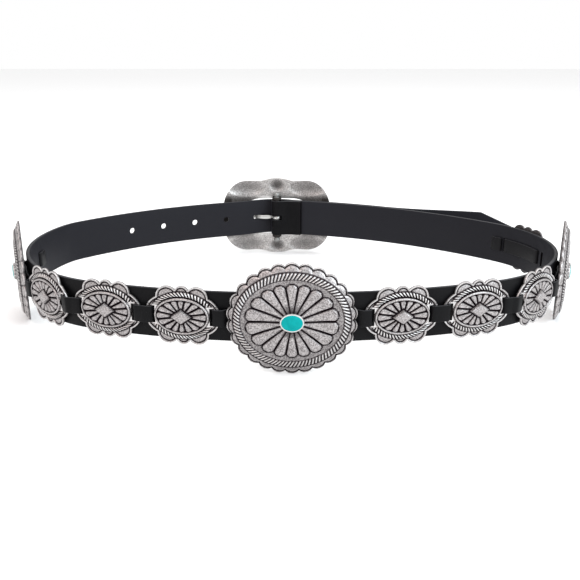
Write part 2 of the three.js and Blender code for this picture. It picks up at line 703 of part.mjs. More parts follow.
// Plan line of the lace, from its left end to its right end.
function laceLine() {
  const past = 3;
  const line = [
    ...stretch(LEFT_SLIT_AT - LACE_TAB, LEFT_SLIT_AT - past, -LACE_OUTSIDE, STEP / 2),
    ...dive(LEFT_SLIT_AT, 0, LACE_OUTSIDE, 1, -1).reverse(),
  ];
  let u = LEFT_SLIT_AT + past;
  const spots = [
    ...BIG_CONCHOS.map((c) => ({ at: c.at, big: c })),
    ...SMALL_CONCHOS.map((c) => ({ at: c.at, big: null })),
  ].sort((a, b) => a.at - b.at);
  for (const { at, big } of spots) {
    if (big) {
      const crest = BRIDGE_LENGTH / 2 + 1;
      const foot = crest + 4;
      line.push(...stretch(u, at - foot, LACE_OUTSIDE));
      for (const along of [-crest, crest]) line.push(fromPlace(bigPlace(big), along, LACE_OVER_BRIDGE - BIG_SEAT));
      u = at + foot;
    } else {
      const barEnd = SMALL_WIDTH / 2 + 2 * GAP;
      if (at - barEnd - u > 0) line.push(...stretch(u, at - barEnd - past, LACE_OUTSIDE));
      line.push(fromSpot(at, -barEnd, LACE_OVER_BAR));
      line.push(...dive(at, -SLOT_MIDDLE, LACE_OVER_BAR, -1, 1));
      line.push(...stretch(at - SLOT_MIDDLE + past, at + SLOT_MIDDLE - past, -LACE_OUTSIDE));
      line.push(...dive(at, SLOT_MIDDLE, LACE_OVER_BAR, 1, -1).reverse());
      line.push(fromSpot(at, barEnd, LACE_OVER_BAR));
      u = at + barEnd + past;
    }
  }
  line.push(...dive(RIGHT_SLIT_AT, 0, LACE_OUTSIDE, -1, -1));
  line.push(...stretch(RIGHT_SLIT_AT - past, RIGHT_SLIT_AT - LACE_TAB, -LACE_OUTSIDE, STEP / 2));
  return line;
}

// Quarter of the buckle's frame from the top middle to the side, as shares. outX and outZ are on the
// outline, inX and inZ on the window. rise is the height of the relief.
const FRAME_QUARTER = [
  { outX: 0, outZ: 1, inX: 0, inZ: 1, rise: 1 },
  { outX: 0.12, outZ: 0.99, inX: 0.13, inZ: 1, rise: 0.8 },
  { outX: 0.21, outZ: 0.955, inX: 0.24, inZ: 1, rise: 0.25 },
  { outX: 0.31, outZ: 0.92, inX: 0.35, inZ: 1, rise: 0.35 },
  { outX: 0.43, outZ: 0.92, inX: 0.47, inZ: 1, rise: 0.85 },
  { outX: 0.56, outZ: 0.94, inX: 0.6, inZ: 1, rise: 1 },
  { outX: 0.69, outZ: 0.91, inX: 0.72, inZ: 1, rise: 1 },
  { outX: 0.81, outZ: 0.81, inX: 0.84, inZ: 1, rise: 0.8 },
  { outX: 0.9, outZ: 0.67, inX: 0.94, inZ: 0.97, rise: 0.55 },
  { outX: 0.96, outZ: 0.5, inX: 0.985, inZ: 0.8, rise: 0.4 },
  { outX: 0.99, outZ: 0.32, inX: 1, inZ: 0.5, rise: 0.3 },
  { outX: 1, outZ: 0.14, inX: 1, inZ: 0.25, rise: 0.3 },
  { outX: 1, outZ: 0, inX: 1, inZ: 0, rise: 0.3 },
];

// Distance outwards of the frame's back from the bar's axis. The frame is bowed like the waist.
const FRAME_SIDE_OUT = 0.2;
const FRAME_MIDDLE_OUT = 6;
function frameOut(x) {
  return FRAME_MIDDLE_OUT - (FRAME_MIDDLE_OUT - FRAME_SIDE_OUT) * ((2 * x) / FRAME_WIDTH) ** 2;
}

// The frame, in the frame of the spot at the bar's axis: a ring of sections round the window.
function buckleFrame() {
  const windowX = FRAME_WIDTH / 2 - FRAME_SIDE_BAR;
  const windowZ = STRAP_WIDTH / 2 + WINDOW_SPARE;
  const full = [
    ...FRAME_QUARTER.slice(0, -1).map((q) => ({ ...q, sx: 1, sz: 1 })),
    ...FRAME_QUARTER.slice(1).reverse().map((q) => ({ ...q, sx: 1, sz: -1 })),
    ...FRAME_QUARTER.slice(0, -1).map((q) => ({ ...q, sx: -1, sz: -1 })),
    ...FRAME_QUARTER.slice(1).reverse().map((q) => ({ ...q, sx: -1, sz: 1 })),
  ];
  const sections = full.map(({ outX, outZ, inX, inZ, rise, sx, sz }) => {
    const outer = new THREE.Vector2((sx * outX * FRAME_WIDTH) / 2, (sz * outZ * FRAME_HEIGHT) / 2);
    const inner = new THREE.Vector2(sx * inX * windowX, sz * inZ * windowZ);
    const at = (share, out) => {
      const p = inner.clone().lerp(outer, share);
      return new THREE.Vector3(p.x, -(frameOut(p.x) + out), p.y);
    };
    const relief = FRAME_RISE * rise;
    return [
      at(0, 0),
      at(0, FRAME_THICKNESS),
      at(0.4, FRAME_THICKNESS + relief),
      at(0.78, FRAME_THICKNESS + relief * 0.85),
      at(1, FRAME_THICKNESS * 0.6),
      at(1, 0),
      at(0.55, relief * 0.8),
    ];
  });
  // Lugs round the ends of the bar, each a short tube on a foot under the frame's edge.
  const lugOuter = BAR_RADIUS + GAP + LUG_WALL;
  const lugFoot = FRAME_MIDDLE_OUT + FRAME_THICKNESS / 2;
  const lugAt = STRAP_WIDTH / 2 + GAP + LUG_HEIGHT / 2;
  const lugs = [-1, 1].flatMap((side) => [
    new THREE.CylinderGeometry(lugOuter, lugOuter, LUG_HEIGHT, 16).rotateX(Math.PI / 2).translate(0, 0, side * lugAt),
    boxAt(lugOuter * 1.6, lugFoot, LUG_HEIGHT, 0, -lugFoot / 2, side * lugAt),
  ]);
  const bore = new THREE.CylinderGeometry(BAR_RADIUS + GAP, BAR_RADIUS + GAP, FRAME_HEIGHT, 12).rotateX(Math.PI / 2);
  return combine(skin(sections, { closed: true }), { add: lugs, cut: [bore] });
}

// The bar: a pin with a round head outside each lug.
function buckleBar() {
  const shank = STRAP_WIDTH / 2 + LUG_HEIGHT + 2 * GAP;
  const head = BAR_HEAD_RADIUS;
  const profile = [
    new THREE.Vector2(0, -shank - 1.4 * head),
    new THREE.Vector2(0.7 * head, -shank - 1.15 * head),
    new THREE.Vector2(head, -shank - 0.6 * head),
    new THREE.Vector2(BAR_RADIUS, -shank),
    new THREE.Vector2(BAR_RADIUS, shank),
    new THREE.Vector2(head, shank + 0.6 * head),
    new THREE.Vector2(0.7 * head, shank + 1.15 * head),
    new THREE.Vector2(0, shank + 1.4 * head),
  ];
  return new THREE.LatheGeometry(profile, 12).rotateX(Math.PI / 2);
}

// The prong: an eye round the bar, and a shank that passes through the hole and lies on the frame's side.
function prong() {
  const eyeInner = BAR_RADIUS + GAP;
  const eyeOuter = eyeInner + PRONG_THICKNESS * 0.8;
  const sideBar = frameOut(FRAME_WIDTH / 2 - FRAME_SIDE_BAR) + FRAME_THICKNESS + FRAME_RISE * FRAME_QUARTER.at(-1).rise;
  const rest = sideBar + GAP + PRONG_THICKNESS / 2;
  const tip = FRAME_WIDTH / 2 - 1;
  const line = [
    new THREE.Vector2(2, 1.5),
    new THREE.Vector2(PRONG_REACH - 5, 0.8),
    new THREE.Vector2(PRONG_REACH - 3.5, 0.9),
    new THREE.Vector2(PRONG_REACH + 3.5, rest - 0.5),
    new THREE.Vector2(PRONG_REACH + 5.5, rest),
    new THREE.Vector2(tip - 4, rest),
    new THREE.Vector2(tip, rest - 0.2),
  ].map((p) => new THREE.Vector2(p.x, -p.y));
  const shank = band(line, PRONG_THICKNESS, PRONG_WIDTH);
  const across = (r, h) => new THREE.CylinderGeometry(r, r, h, 16).rotateX(Math.PI / 2);
  return combine(shank, { add: [across(eyeOuter, PRONG_WIDTH)], cut: [across(eyeInner, 2 * PRONG_WIDTH)] });
}

function addMesh(group, name, geometry, material, place) {
  const mesh = new THREE.Mesh(geometry, material);
  mesh.name = name;
  if (place) {
    mesh.position.set(place.point.x, place.point.y, 0);
    mesh.rotation.z = place.angle;
  }
  group.add(mesh);
}

const belt = new THREE.Group();
addMesh(belt, 'main_strap', mainStrap(), leather);
addMesh(belt, 'lace', band(laceLine(), LACE_THICKNESS, LACE_WIDTH), laceLeather);
for (const concho of BIG_CONCHOS) {
  const place = bigPlace(concho);
  addMesh(belt, `big_concho_${concho.name}`, bigConcho(), silver, place);
  addMesh(belt, `stone_${concho.name}`, stone(), turquoise, place);
}
for (const { name, at } of SMALL_CONCHOS) {
  addMesh(belt, `small_concho_${name}`, smallConcho(), silver, onLoop(at, CONCHO_SEAT));
}
addMesh(belt, 'buckle_frame', buckleFrame(), buckleSilver, onLoop(BAR_AT, BAR_OUT));
addMesh(belt, 'buckle_bar', buckleBar(), pinMetal, onLoop(BAR_AT, BAR_OUT));
addMesh(belt, 'buckle_prong', prong(), pinMetal, onLoop(BAR_AT, BAR_OUT));

// The origin is at the middle of the belt's lower edge.
belt.updateMatrixWorld(true);
const box = new THREE.Box3().setFromObject(belt, true);
const middle = box.getCenter(new THREE.Vector3());
belt.position.set(-middle.x, -middle.y, -box.min.z);

export default belt;
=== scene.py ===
import bpy
import math
from functools import lru_cache
import numpy as np
from mathutils import Matrix, Vector


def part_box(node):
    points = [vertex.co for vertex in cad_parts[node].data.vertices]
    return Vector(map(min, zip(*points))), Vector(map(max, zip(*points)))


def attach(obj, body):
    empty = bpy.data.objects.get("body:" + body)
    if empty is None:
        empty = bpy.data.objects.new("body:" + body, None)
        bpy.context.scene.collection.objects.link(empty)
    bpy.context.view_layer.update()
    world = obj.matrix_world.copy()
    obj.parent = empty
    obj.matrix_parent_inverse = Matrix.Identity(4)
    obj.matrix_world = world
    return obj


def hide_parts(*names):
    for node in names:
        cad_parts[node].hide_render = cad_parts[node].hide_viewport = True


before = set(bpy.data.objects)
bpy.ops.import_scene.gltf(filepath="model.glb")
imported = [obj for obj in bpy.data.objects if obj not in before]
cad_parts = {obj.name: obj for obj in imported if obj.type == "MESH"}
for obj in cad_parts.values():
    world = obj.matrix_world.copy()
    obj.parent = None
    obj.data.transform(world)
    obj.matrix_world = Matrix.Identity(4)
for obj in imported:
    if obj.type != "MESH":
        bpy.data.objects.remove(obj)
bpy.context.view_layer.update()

# All lengths below are in millimetres until a mesh is made.
MM = 0.001
GAP = 0.3
STRAP_WIDTH = 30.0
STRAP_THICKNESS = 2.4
LACE_WIDTH = 10.0
LACE_THICKNESS = 1.4
LOOP_WIDTH = 365.0
LOOP_DEPTH = 249.0
BIG_WIDTH = 75.5
BIG_HEIGHT = 67.6
BIG_DOME = 6.7
BIG_SCALLOPS = 26
BIG_PETALS = 18
STONE_WIDTH = 12.4
STONE_HEIGHT = 9.6
STONE_DOME = 1.0
BEZEL_WALL = 0.75
BEZEL_RISE = 0.9
BRIDGE_LENGTH = 6.0
BRIDGE_THICKNESS = 1.0
BRIDGE_POST = 1.6
BRIDGE_DROP = 0.6
SMALL_WIDTH = 45.5
SMALL_HEIGHT = 36.0
SMALL_DOME = 4.6
SMALL_PETALS = 16
SLOT_WIDTH = 3.3
SLOT_SPARE = 0.6
END_BAR = 3.05
DIAMOND_WIDTH = 12.4
DIAMOND_HEIGHT = 8.8
RIM_THICKNESS = 1.4
BIG_TO_SMALL = 2.8
SMALL_TO_SMALL = 1.8
SMALL_TO_SIDE = 0.5
TUCKED_STEP = 49.5
FRAME_WIDTH = 95.6
FRAME_HEIGHT = 67.6
FRAME_SIDE_BAR = 5.5
FRAME_THICKNESS = 2.2
FRAME_RISE = 2.4
WINDOW_SPARE = 0.9
BAR_RADIUS = 2.2
BAR_HEAD_RADIUS = 2.7
LUG_WALL = 1.4
LUG_HEIGHT = 2.6
PRONG_WIDTH = 3.4
PRONG_THICKNESS = 1.8
FLAP_LENGTH = 22.0
FREE_END_LIES = 92.0
TIP_TAPER = 30.0
TIP_WIDTH = 5.0
HOLE_COUNT = 5
HOLE_PITCH = 28.2
HOLE_RADIUS = 2.4
PRONG_REACH = 17.5
LACE_TAB = 8.0
LEFT_SLIT_BEHIND_CONCHO = 13.0
RIGHT_SLIT_PAST_CONCHO = 6.5
SLIT_SPARE = 0.8
MID_Z = BIG_HEIGHT / 2
LOOP_STEPS = 8001
SHARP_ANGLE = 42


# The strap's loop in the plan, anticlockwise from the front centre. It is scaled to its width and depth.

# Relative radius and turn in degrees of each arc. None stands for the radii that close the loop.
ARCS = [(1.8, 18.2), (0.45, 49.8), (0.34, 70.0), (None, 32.0), (0.246, 20.0),
        (None, 34.1), (0.182, 22.4), (0.45, 95.3), (1.8, 18.2)]


def closed_arcs():
    """Radius, heading and run of each arc. The two open radii are those that close the loop."""
    arcs = []
    heading = 0.0
    for radius, turn in ARCS:
        end = heading + math.radians(turn)
        arcs.append([radius, heading, math.sin(end) - math.sin(heading), math.cos(heading) - math.cos(end)])
        heading = end
    p, q = [a for a in arcs if a[0] is None]
    across = -sum(a[0] * a[2] for a in arcs if a[0] is not None)
    along = -sum(a[0] * a[3] for a in arcs if a[0] is not None)
    det = p[2] * q[3] - q[2] * p[3]
    p[0], q[0] = (across * q[3] - q[2] * along) / det, (p[2] * along - across * p[3]) / det
    return arcs


def loop_table():
    """Arc length, x, y and tangent angle at even steps of heading."""
    arcs = closed_arcs()
    heading = np.linspace(0.0, 2 * math.pi, LOOP_STEPS)
    x = np.zeros_like(heading)
    y = np.zeros_like(heading)
    sx, sy = 0.0, 0.0
    for radius, start, across, along in arcs:
        on = heading >= start
        x[on] = sx + radius * (np.sin(heading[on]) - math.sin(start))
        y[on] = sy + radius * (math.cos(start) - np.cos(heading[on]))
        sx += radius * across
        sy += radius * along
    x *= LOOP_WIDTH / (x.max() - x.min())
    y *= LOOP_DEPTH / (y.max() - y.min())
    steps = np.hypot(np.diff(x), np.diff(y))
    length = np.concatenate([[0.0], np.cumsum(steps)])
    angle = np.unwrap(np.arctan2(np.gradient(y), np.gradient(x)))
    return length, x, y, angle


LENGTH, LOOP_X, LOOP_Y, LOOP_ANGLE = loop_table()
LOOP_LENGTH = LENGTH[-1]
BAR_AT = float(np.interp(math.pi, np.linspace(0, 2 * math.pi, LOOP_STEPS), LENGTH))


def directions(a):
    """Unit vectors along the strap and outwards, where its heading is a."""
    return np.array([math.cos(a), math.sin(a)]), np.array([math.sin(a), -math.cos(a)])


def on_loop(u, out=0.0):
    """Plan point at arc length u, moved outwards, and the strap's heading there."""
    u = u % LOOP_LENGTH
    x, y, a = [float(np.interp(u, LENGTH, values)) for values in (LOOP_X, LOOP_Y, LOOP_ANGLE)]
    return np.array([x, y]) + directions(a)[1] * out, a


def from_place(point, a, along, out):
    """A plan point given along and outwards from a piece at a point and a turn."""
    way, outwards = directions(a)
    return point + way * along + outwards * out


def from_spot(u, along, out):
    """A plan point given along and outwards from the loop at arc length u."""
    return from_place(*on_loop(u), along, out)


def big_place(at, turn, lift):
    """Plan point and turn of a large concho."""
    point, a = on_loop(at, BIG_SEAT + lift)
    return point, a + math.radians(turn)


def stretch(start, end, out, step):
    """Points along the loop between two arc lengths. out may be a function of the arc length."""
    count = max(1, math.ceil(abs(end - start) / step))
    at = [start + (end - start) * i / count for i in range(count + 1)]
    return [on_loop(u, out(u) if callable(out) else out)[0] for u in at]


def ease(v):
    """0 below 0, 1 above 1, and a soft rise between them."""
    v = np.clip(v, 0, 1)
    return v * v * (3 - 2 * v)


def smooth(x, start, end):
    """ease from start to end, on both sides of 0."""
    return ease((np.abs(x) - start) / (end - start))


BIG_STEP = BIG_WIDTH / 2 + BIG_TO_SMALL + SMALL_WIDTH / 2
SMALL_STEP = SMALL_WIDTH + SMALL_TO_SMALL
SIDE_AT = BIG_STEP + 2 * SMALL_STEP + BIG_WIDTH / 2 + SMALL_TO_SIDE + SMALL_WIDTH / 2
TUCKED_AT = SIDE_AT + TUCKED_STEP
# Place along the strap, turn in degrees from square to the strap, and lift off it.
BIG_CONCHOS = {"front": (0.0, 0.0, 0.0), "right": (SIDE_AT, -9.0, 1.6), "left": (-SIDE_AT, 7.0, 1.6)}
SMALL_CONCHOS = {
    "right_1": BIG_STEP, "right_2": BIG_STEP + SMALL_STEP, "right_3": BIG_STEP + 2 * SMALL_STEP,
    "right_4": TUCKED_AT,
    "left_1": -BIG_STEP, "left_2": -BIG_STEP - SMALL_STEP, "left_3": -BIG_STEP - 2 * SMALL_STEP,
}
STRAP_FACE = STRAP_THICKNESS / 2
CONCHO_SEAT = STRAP_FACE + GAP
LACE_OUTSIDE = STRAP_FACE + GAP + LACE_THICKNESS / 2
LACE_OVER_BAR = CONCHO_SEAT + RIM_THICKNESS + GAP + LACE_THICKNESS / 2
LACE_OVER_BRIDGE = CONCHO_SEAT + BRIDGE_THICKNESS + GAP + LACE_THICKNESS / 2
BIG_SEAT = CONCHO_SEAT + BRIDGE_DROP
SLOT_OUTER = SMALL_WIDTH / 2 - END_BAR
SLOT_MIDDLE = SLOT_OUTER - SLOT_WIDTH / 2
LAYER = STRAP_THICKNESS + GAP
BAR_OUT = -LAYER / 2
FOLD_RADIUS = BAR_RADIUS + GAP + STRAP_THICKNESS / 2
FOLD_RUN = 13.0
FREE_OVER_BAR = BAR_OUT + FOLD_RADIUS + LAYER
RISE_FROM = 6.0
RISE_TO = 38.0
LIE_FROM = 4.0
LIE_TO = 18.0
FOLD_FROM = 2.0
STEP_AT_FOLD = 1.2
STEP_RISING = 2.0
STEP_PLAIN = 2.5
STEP_LACE = 4.0
LEAST_STRAP_STEP = 0.4
LEAST_LACE_STEP = 0.3
LEFT_SLIT_AT = -(SIDE_AT + BIG_WIDTH / 2 - LEFT_SLIT_BEHIND_CONCHO)
RIGHT_SLIT_AT = TUCKED_AT + SMALL_WIDTH / 2 + RIGHT_SLIT_PAST_CONCHO
# Length and turn in degrees of the two bends of the free end.
SPRING = [(42.0, 15.0), (72.0, -6.0)]


def free_end():
    """The free end, from where it leaves the strap under it to its tip."""
    at, a = on_loop(BAR_AT - FREE_END_LIES, LAYER)
    heading = a + math.pi
    points = []
    for length, turn in SPRING:
        count = math.ceil(length / STEP_PLAIN)
        bend = math.radians(turn) / count
        for _ in range(count):
            heading += bend
            at = at + (length / count) * directions(heading - bend / 2)[0]
            points.append(at)
    return points


def strap_line():
    """The strap's middle line: flap, fold round the bar, loop, over the bar again, and free end."""
    def near(u):
        return BAR_AT - u

    def flap_out(u):
        return -LAYER - (FOLD_RADIUS - LAYER / 2) * (1 - smooth(near(u), FOLD_FROM, FOLD_RUN))

    def fixed_out(u):
        return (BAR_OUT + FOLD_RADIUS) * (1 - smooth(near(u), FOLD_FROM, FOLD_RUN))

    def rising(u):
        return FREE_OVER_BAR * (1 - smooth(u - (BAR_AT - LOOP_LENGTH), RISE_FROM, RISE_TO))

    def lying(u):
        return LAYER + (FREE_OVER_BAR - LAYER) * (1 - smooth(near(u), LIE_FROM, LIE_TO))

    line = stretch(BAR_AT - FLAP_LENGTH, BAR_AT, flap_out, STEP_AT_FOLD)
    for turn in range(-75, 76, 15):
        a = math.radians(turn)
        line.append(from_spot(BAR_AT, FOLD_RADIUS * math.cos(a), BAR_OUT + FOLD_RADIUS * math.sin(a)))
    line += stretch(BAR_AT, BAR_AT - FOLD_RUN, fixed_out, STEP_AT_FOLD)
    line += stretch(BAR_AT - FOLD_RUN, BAR_AT - LOOP_LENGTH + RISE_TO, 0.0, STEP_PLAIN)
    line += stretch(BAR_AT - LOOP_LENGTH + RISE_TO, BAR_AT - LOOP_LENGTH, rising, STEP_RISING)
    line += stretch(BAR_AT, BAR_AT - LIE_TO, lying, STEP_RISING)
    line += stretch(BAR_AT - LIE_TO, BAR_AT - FREE_END_LIES, LAYER, STEP_PLAIN)
    line += free_end()
    return thinned(line, LEAST_STRAP_STEP)


def thinned(line, least):
    """Leaves out points nearer than least to the one before."""
    kept = [np.array(line[0])]
    for p in line[1:]:
        if np.hypot(*(p - kept[-1])) > least:
            kept.append(np.array(p))
    return np.array(kept)


def passage(at, along, reach):
    """Points on both faces of the strap where the lace goes through beside a piece at arc length at."""
    point, a = on_loop(at)
    outwards = directions(a)[1]
    through = on_loop(at + along)[0]
    fall = float(np.dot(point - through, outwards))
    return through + outwards * (fall + reach), through - outwards * reach


def dive(at, along, top, outside_to, inside_to):
    """The lace's way in through the strap from height top. The signs say from and to which side."""
    bend = LACE_THICKNESS * 0.8
    high = passage(at, along, top - bend)[0]
    low = passage(at, along, LACE_OUTSIDE - GAP)[1]
    outside = from_spot(at, along + outside_to * bend, top)
    inside = on_loop(at + along + inside_to * 2 * bend, -LACE_OUTSIDE)[0]
    return [outside, high, low, inside]


def lace_line():
    """The lace's middle line, from its left tab to its right one."""
    past = 3.0
    line = stretch(LEFT_SLIT_AT - LACE_TAB, LEFT_SLIT_AT - past, -LACE_OUTSIDE, STEP_LACE)
    line += dive(LEFT_SLIT_AT, 0, LACE_OUTSIDE, 1, -1)[::-1]
    u = LEFT_SLIT_AT + past
    spots = [(spot[0], spot) for spot in BIG_CONCHOS.values()] + [(at, None) for at in SMALL_CONCHOS.values()]
    for at, big in sorted(spots, key=lambda pair: pair[0]):
        if big:
            crest = BRIDGE_LENGTH / 2 + 1
            foot = crest + 4
            line += stretch(u, at - foot, LACE_OUTSIDE, STEP_LACE)
            place_of = big_place(*big)
            line += [from_place(*place_of, along, LACE_OVER_BRIDGE - BIG_SEAT) for along in (-crest, crest)]
            u = at + foot
        else:
            bar_end = SMALL_WIDTH / 2 + 2 * GAP
            if at - bar_end - u > 0:
                line += stretch(u, at - bar_end - past, LACE_OUTSIDE, STEP_LACE)
            line.append(from_spot(at, -bar_end, LACE_OVER_BAR))
            line += dive(at, -SLOT_MIDDLE, LACE_OVER_BAR, -1, 1)
            line += stretch(at - SLOT_MIDDLE + past, at + SLOT_MIDDLE - past, -LACE_OUTSIDE, STEP_LACE)
            line += dive(at, SLOT_MIDDLE, LACE_OVER_BAR, 1, -1)[::-1]
            line.append(from_spot(at, bar_end, LACE_OVER_BAR))
            u = at + bar_end + past
    line += dive(RIGHT_SLIT_AT, 0, LACE_OUTSIDE, -1, -1)
    line += stretch(RIGHT_SLIT_AT - past, RIGHT_SLIT_AT - LACE_TAB, -LACE_OUTSIDE, STEP_LACE)
    line = thinned(line, LEAST_LACE_STEP)
    for _ in range(3):
        line = rounded(line)
    return line


def rounded(line):
    """Cuts every corner of a line, but by no more than 0.5 mm on either side."""
    points = [line[0]]
    for i in range(1, len(line) - 1):
        before = line[i - 1] - line[i]
        after = line[i + 1] - line[i]
        cut = min(0.5, 0.28 * np.hypot(*before), 0.28 * np.hypot(*after))
        points.append(line[i] + before / np.hypot(*before) * cut)
        points.append(line[i] + after / np.hypot(*after) * cut)
    points.append(line[-1])
    return np.array(points)


def belt_offset():
    """Where the loop's own origin lies in the frame, by the buckle's bar."""
    low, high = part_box("buckle_bar")
    bar = on_loop(BAR_AT, BAR_OUT)[0]
    return np.array([(low[0] + high[0]) / 2 / MM - bar[0], (low[1] + high[1]) / 2 / MM - bar[1]])


OFFSET = belt_offset()


# Mesh helpers.

SQUARE = [(-1, -1), (1, -1), (1, 1), (-1, 1)]
ROD_SIDES = 28
LATHE_SIDES = 32


def linked(name, data):
    """A new object in the scene."""
    obj = bpy.data.objects.new(name, data)
    bpy.context.scene.collection.objects.link(obj)
    return obj


def make_object(name, verts, faces, material):
    mesh = bpy.data.meshes.new(name)
    mesh.from_pydata((np.asarray(verts) * MM).tolist(), [], faces)
    mesh.validate()
    mesh.update()
    mesh.polygons.foreach_set("use_smooth", [True] * len(mesh.polygons))
    mesh.materials.append(material)
    return linked(name, mesh)


def spot_matrix(point, a):
    """Places a mesh that was made facing -Y at a plan point and turn of the loop."""
    here = Vector((point[0] + OFFSET[0], point[1] + OFFSET[1], MID_Z)) * MM
    return Matrix.Translation(here) @ Matrix.Rotation(a, 4, "Z")


def loft(rings, caps=True, closed=False):
    """Vertices and faces over rings with equal numbers of points. closed joins the last ring to the first."""
    n = len(rings[0])
    verts = np.concatenate(rings)
    faces = []
    count = len(rings)
    last = count if closed else count - 1
    for k in range(last):
        a = k * n
        b = ((k + 1) % count) * n
        for i in range(n):
            j = (i + 1) % n
            faces.append((a + i, a + j, b + j, b + i))
    if caps and not closed:
        faces.append(tuple(range(n))[::-1])
        faces.append(tuple((count - 1) * n + i for i in range(n)))
    return verts, faces


def tangents(line):
    """Unit vectors along a plan line at its points."""
    along = np.gradient(line, axis=0)
    return along / np.hypot(along[:, 0], along[:, 1])[:, None]


def band(line, thickness, half_width, edge):
    """Rings of a strap on edge along a plan line, with corners rounded by edge. half_width may vary."""
    points = line + OFFSET
    half = np.broadcast_to(half_width, len(points))
    t = thickness / 2
    corner = []
    for cx, cz, start in ((1, 1, 0), (-1, 1, 90), (-1, -1, 180), (1, -1, 270)):
        for step in (0, 30, 60, 90):
            a = math.radians(start + step)
            corner.append((cx * (t - edge) + edge * math.cos(a), cz, edge * math.sin(a)))
    rings = []
    for (x, y), (along_x, along_y), h in zip(points, tangents(points), half):
        reach = max(h - edge, 0.1)
        ring = [(x + along_y * o, y - along_x * o, MID_Z + cz * reach + dz) for o, cz, dz in corner]
        rings.append(np.array(ring))
    return rings


def merged(bodies):
    """Vertices and faces of several bodies in one."""
    verts, faces = [], []
    for own_verts, own_faces in bodies:
        base = len(verts)
        verts += [tuple(v) for v in own_verts]
        faces += [tuple(base + i for i in f) for f in own_faces]
    return verts, faces


def apply_cut(obj, cutters):
    """Cuts the cutters, which don't touch each other, out of obj."""
    with_all = bpy.data.meshes.new("cutter")
    verts, faces = merged(cutters)
    with_all.from_pydata((np.array(verts) * MM).tolist(), [], faces)
    with_all.validate()
    cutter = linked("cutter", with_all)
    modifier = obj.modifiers.new("cut", "BOOLEAN")
    modifier.operation = "DIFFERENCE"
    modifier.solver = "EXACT"
    modifier.object = cutter
    depsgraph = bpy.context.evaluated_depsgraph_get()
    depsgraph.update()
    mesh = bpy.data.meshes.new_from_object(obj.evaluated_get(depsgraph))
    old = obj.data
    obj.modifiers.clear()
    obj.data = mesh
    mesh.set_sharp_from_angle(angle=math.radians(SHARP_ANGLE))
    bpy.data.meshes.remove(old)
    bpy.data.objects.remove(cutter)
    bpy.data.meshes.remove(with_all)


def box_cutter(middle, a, half_along, half_out, half_z):
    """A box on the plan at middle, turned by a."""
    verts = []
    for sz in (-1, 1):
        for sa, so in SQUARE:
            verts.append((*from_place(middle, a, sa * half_along, so * half_out), MID_Z + sz * half_z))
    return box(verts)


def round_cutter(middle, a, radius, half_out):
    """A round rod through the strap at middle, where its heading is a."""
    rings = []
    for out in (-half_out, half_out):
        ring = []
        for i in range(ROD_SIDES):
            t = 2 * math.pi * i / ROD_SIDES
            spot = from_place(middle, a, radius * math.cos(t), out)
            ring.append((*spot, MID_Z + radius * math.sin(t)))
        rings.append(np.array(ring))
    verts, faces = loft(rings)
    return verts, outward(verts, faces)


def box_at(middle, size):
    """A box square to the axes."""
    corners = [(sx, sy, sz) for sz in (-1, 1) for sx, sy in SQUARE]
    return box([tuple(m + s * d / 2 for m, s, d in zip(middle, c, size)) for c in corners])


def box(corners):
    """A body with six faces from the four corners of its bottom and the four above them."""
    faces = [(0, 1, 2, 3), (4, 5, 6, 7), (0, 1, 5, 4), (1, 2, 6, 5), (2, 3, 7, 6), (3, 0, 4, 7)]
    return corners, outward(corners, faces)


def outward(verts, faces):
    """Turns the faces of a convex body outwards."""
    verts = np.asarray(verts, dtype=float)
    middle = verts.mean(axis=0)
    turned = []
    for f in faces:
        a, b, c = verts[f[0]], verts[f[1]], verts[f[2]]
        normal = np.cross(b - a, c - a)
        turned.append(tuple(f) if np.dot(normal, a - middle) > 0 else tuple(f)[::-1])
    return turned


def set_dark(obj, values):
    """Stores how dark each vertex is, or all of them are, with tarnish and with painted shade, for the
    silver's shader.
    """
    attribute = obj.data.color_attributes.new("tarnish_and_shade", "FLOAT_COLOR", "POINT")
    values = np.clip(np.broadcast_to(values, len(obj.data.vertices)), 0, 1)
    data = np.stack([values, values, values, np.ones(len(values))], axis=1)
    attribute.data.foreach_set("color", data.ravel())


def coordinates(obj):
    """Vertices of an object's mesh in millimetres."""
    data = np.empty(len(obj.data.vertices) * 3)
    obj.data.vertices.foreach_get("co", data)
    return data.reshape(-1, 3) / MM


# Relief shared by both kinds of concho. Heights are outwards from the back of the rim.

def ellipse(x, z, half):
    """1 on an ellipse about the middle, less inside it and more outside."""
    return np.sqrt((x / half[0]) ** 2 + (z / half[1]) ** 2)


def between(x, z, inner, outer):
    """0 inside the inner ellipse, 1 outside the outer one, and even between them."""
    i = ellipse(x, z, inner) - 1
    o = 1 - ellipse(x, z, outer)
    total = np.where(np.abs(i + o) < 1e-9, 1e-9, i + o)
    return np.where(i <= 0, 0.0, np.where(o <= 0, 1.0, np.clip(i / total, 0, 1)))


def shares_across(x, z, ovals):
    """How far each point is across each of the bands between one oval and the next."""
    return [between(x, z, inner, outer) for inner, outer in zip(ovals, ovals[1:])]


def inside(v):
    """True across a band, where its share v is between 0 and 1."""
    return (v > 0) & (v < 1)


def just_outside(x, z, oval, width):
    """1 at an oval, and falling to 0 at a width outside it."""
    return ease(1 - (ellipse(x, z, oval) - 1) * oval[1] / width)


@lru_cache(maxsize=None)
def ellipse_table(half, steps):
    """Parameter of an ellipse from its top, and the share of its length up to there."""
    t = np.linspace(0, 2 * math.pi, steps)
    px, pz = half[0] * np.sin(t), half[1] * np.cos(t)
    length = np.concatenate([[0], np.cumsum(np.hypot(np.diff(px), np.diff(pz)))])
    return t, length / length[-1]


def arc_share(x, z, half):
    """Share of the way round an ellipse at each point, by arc length, from the top."""
    t = np.arctan2(x / half[0], z / half[1]) % (2 * math.pi)
    return np.interp(t, *ellipse_table(half, 2001))


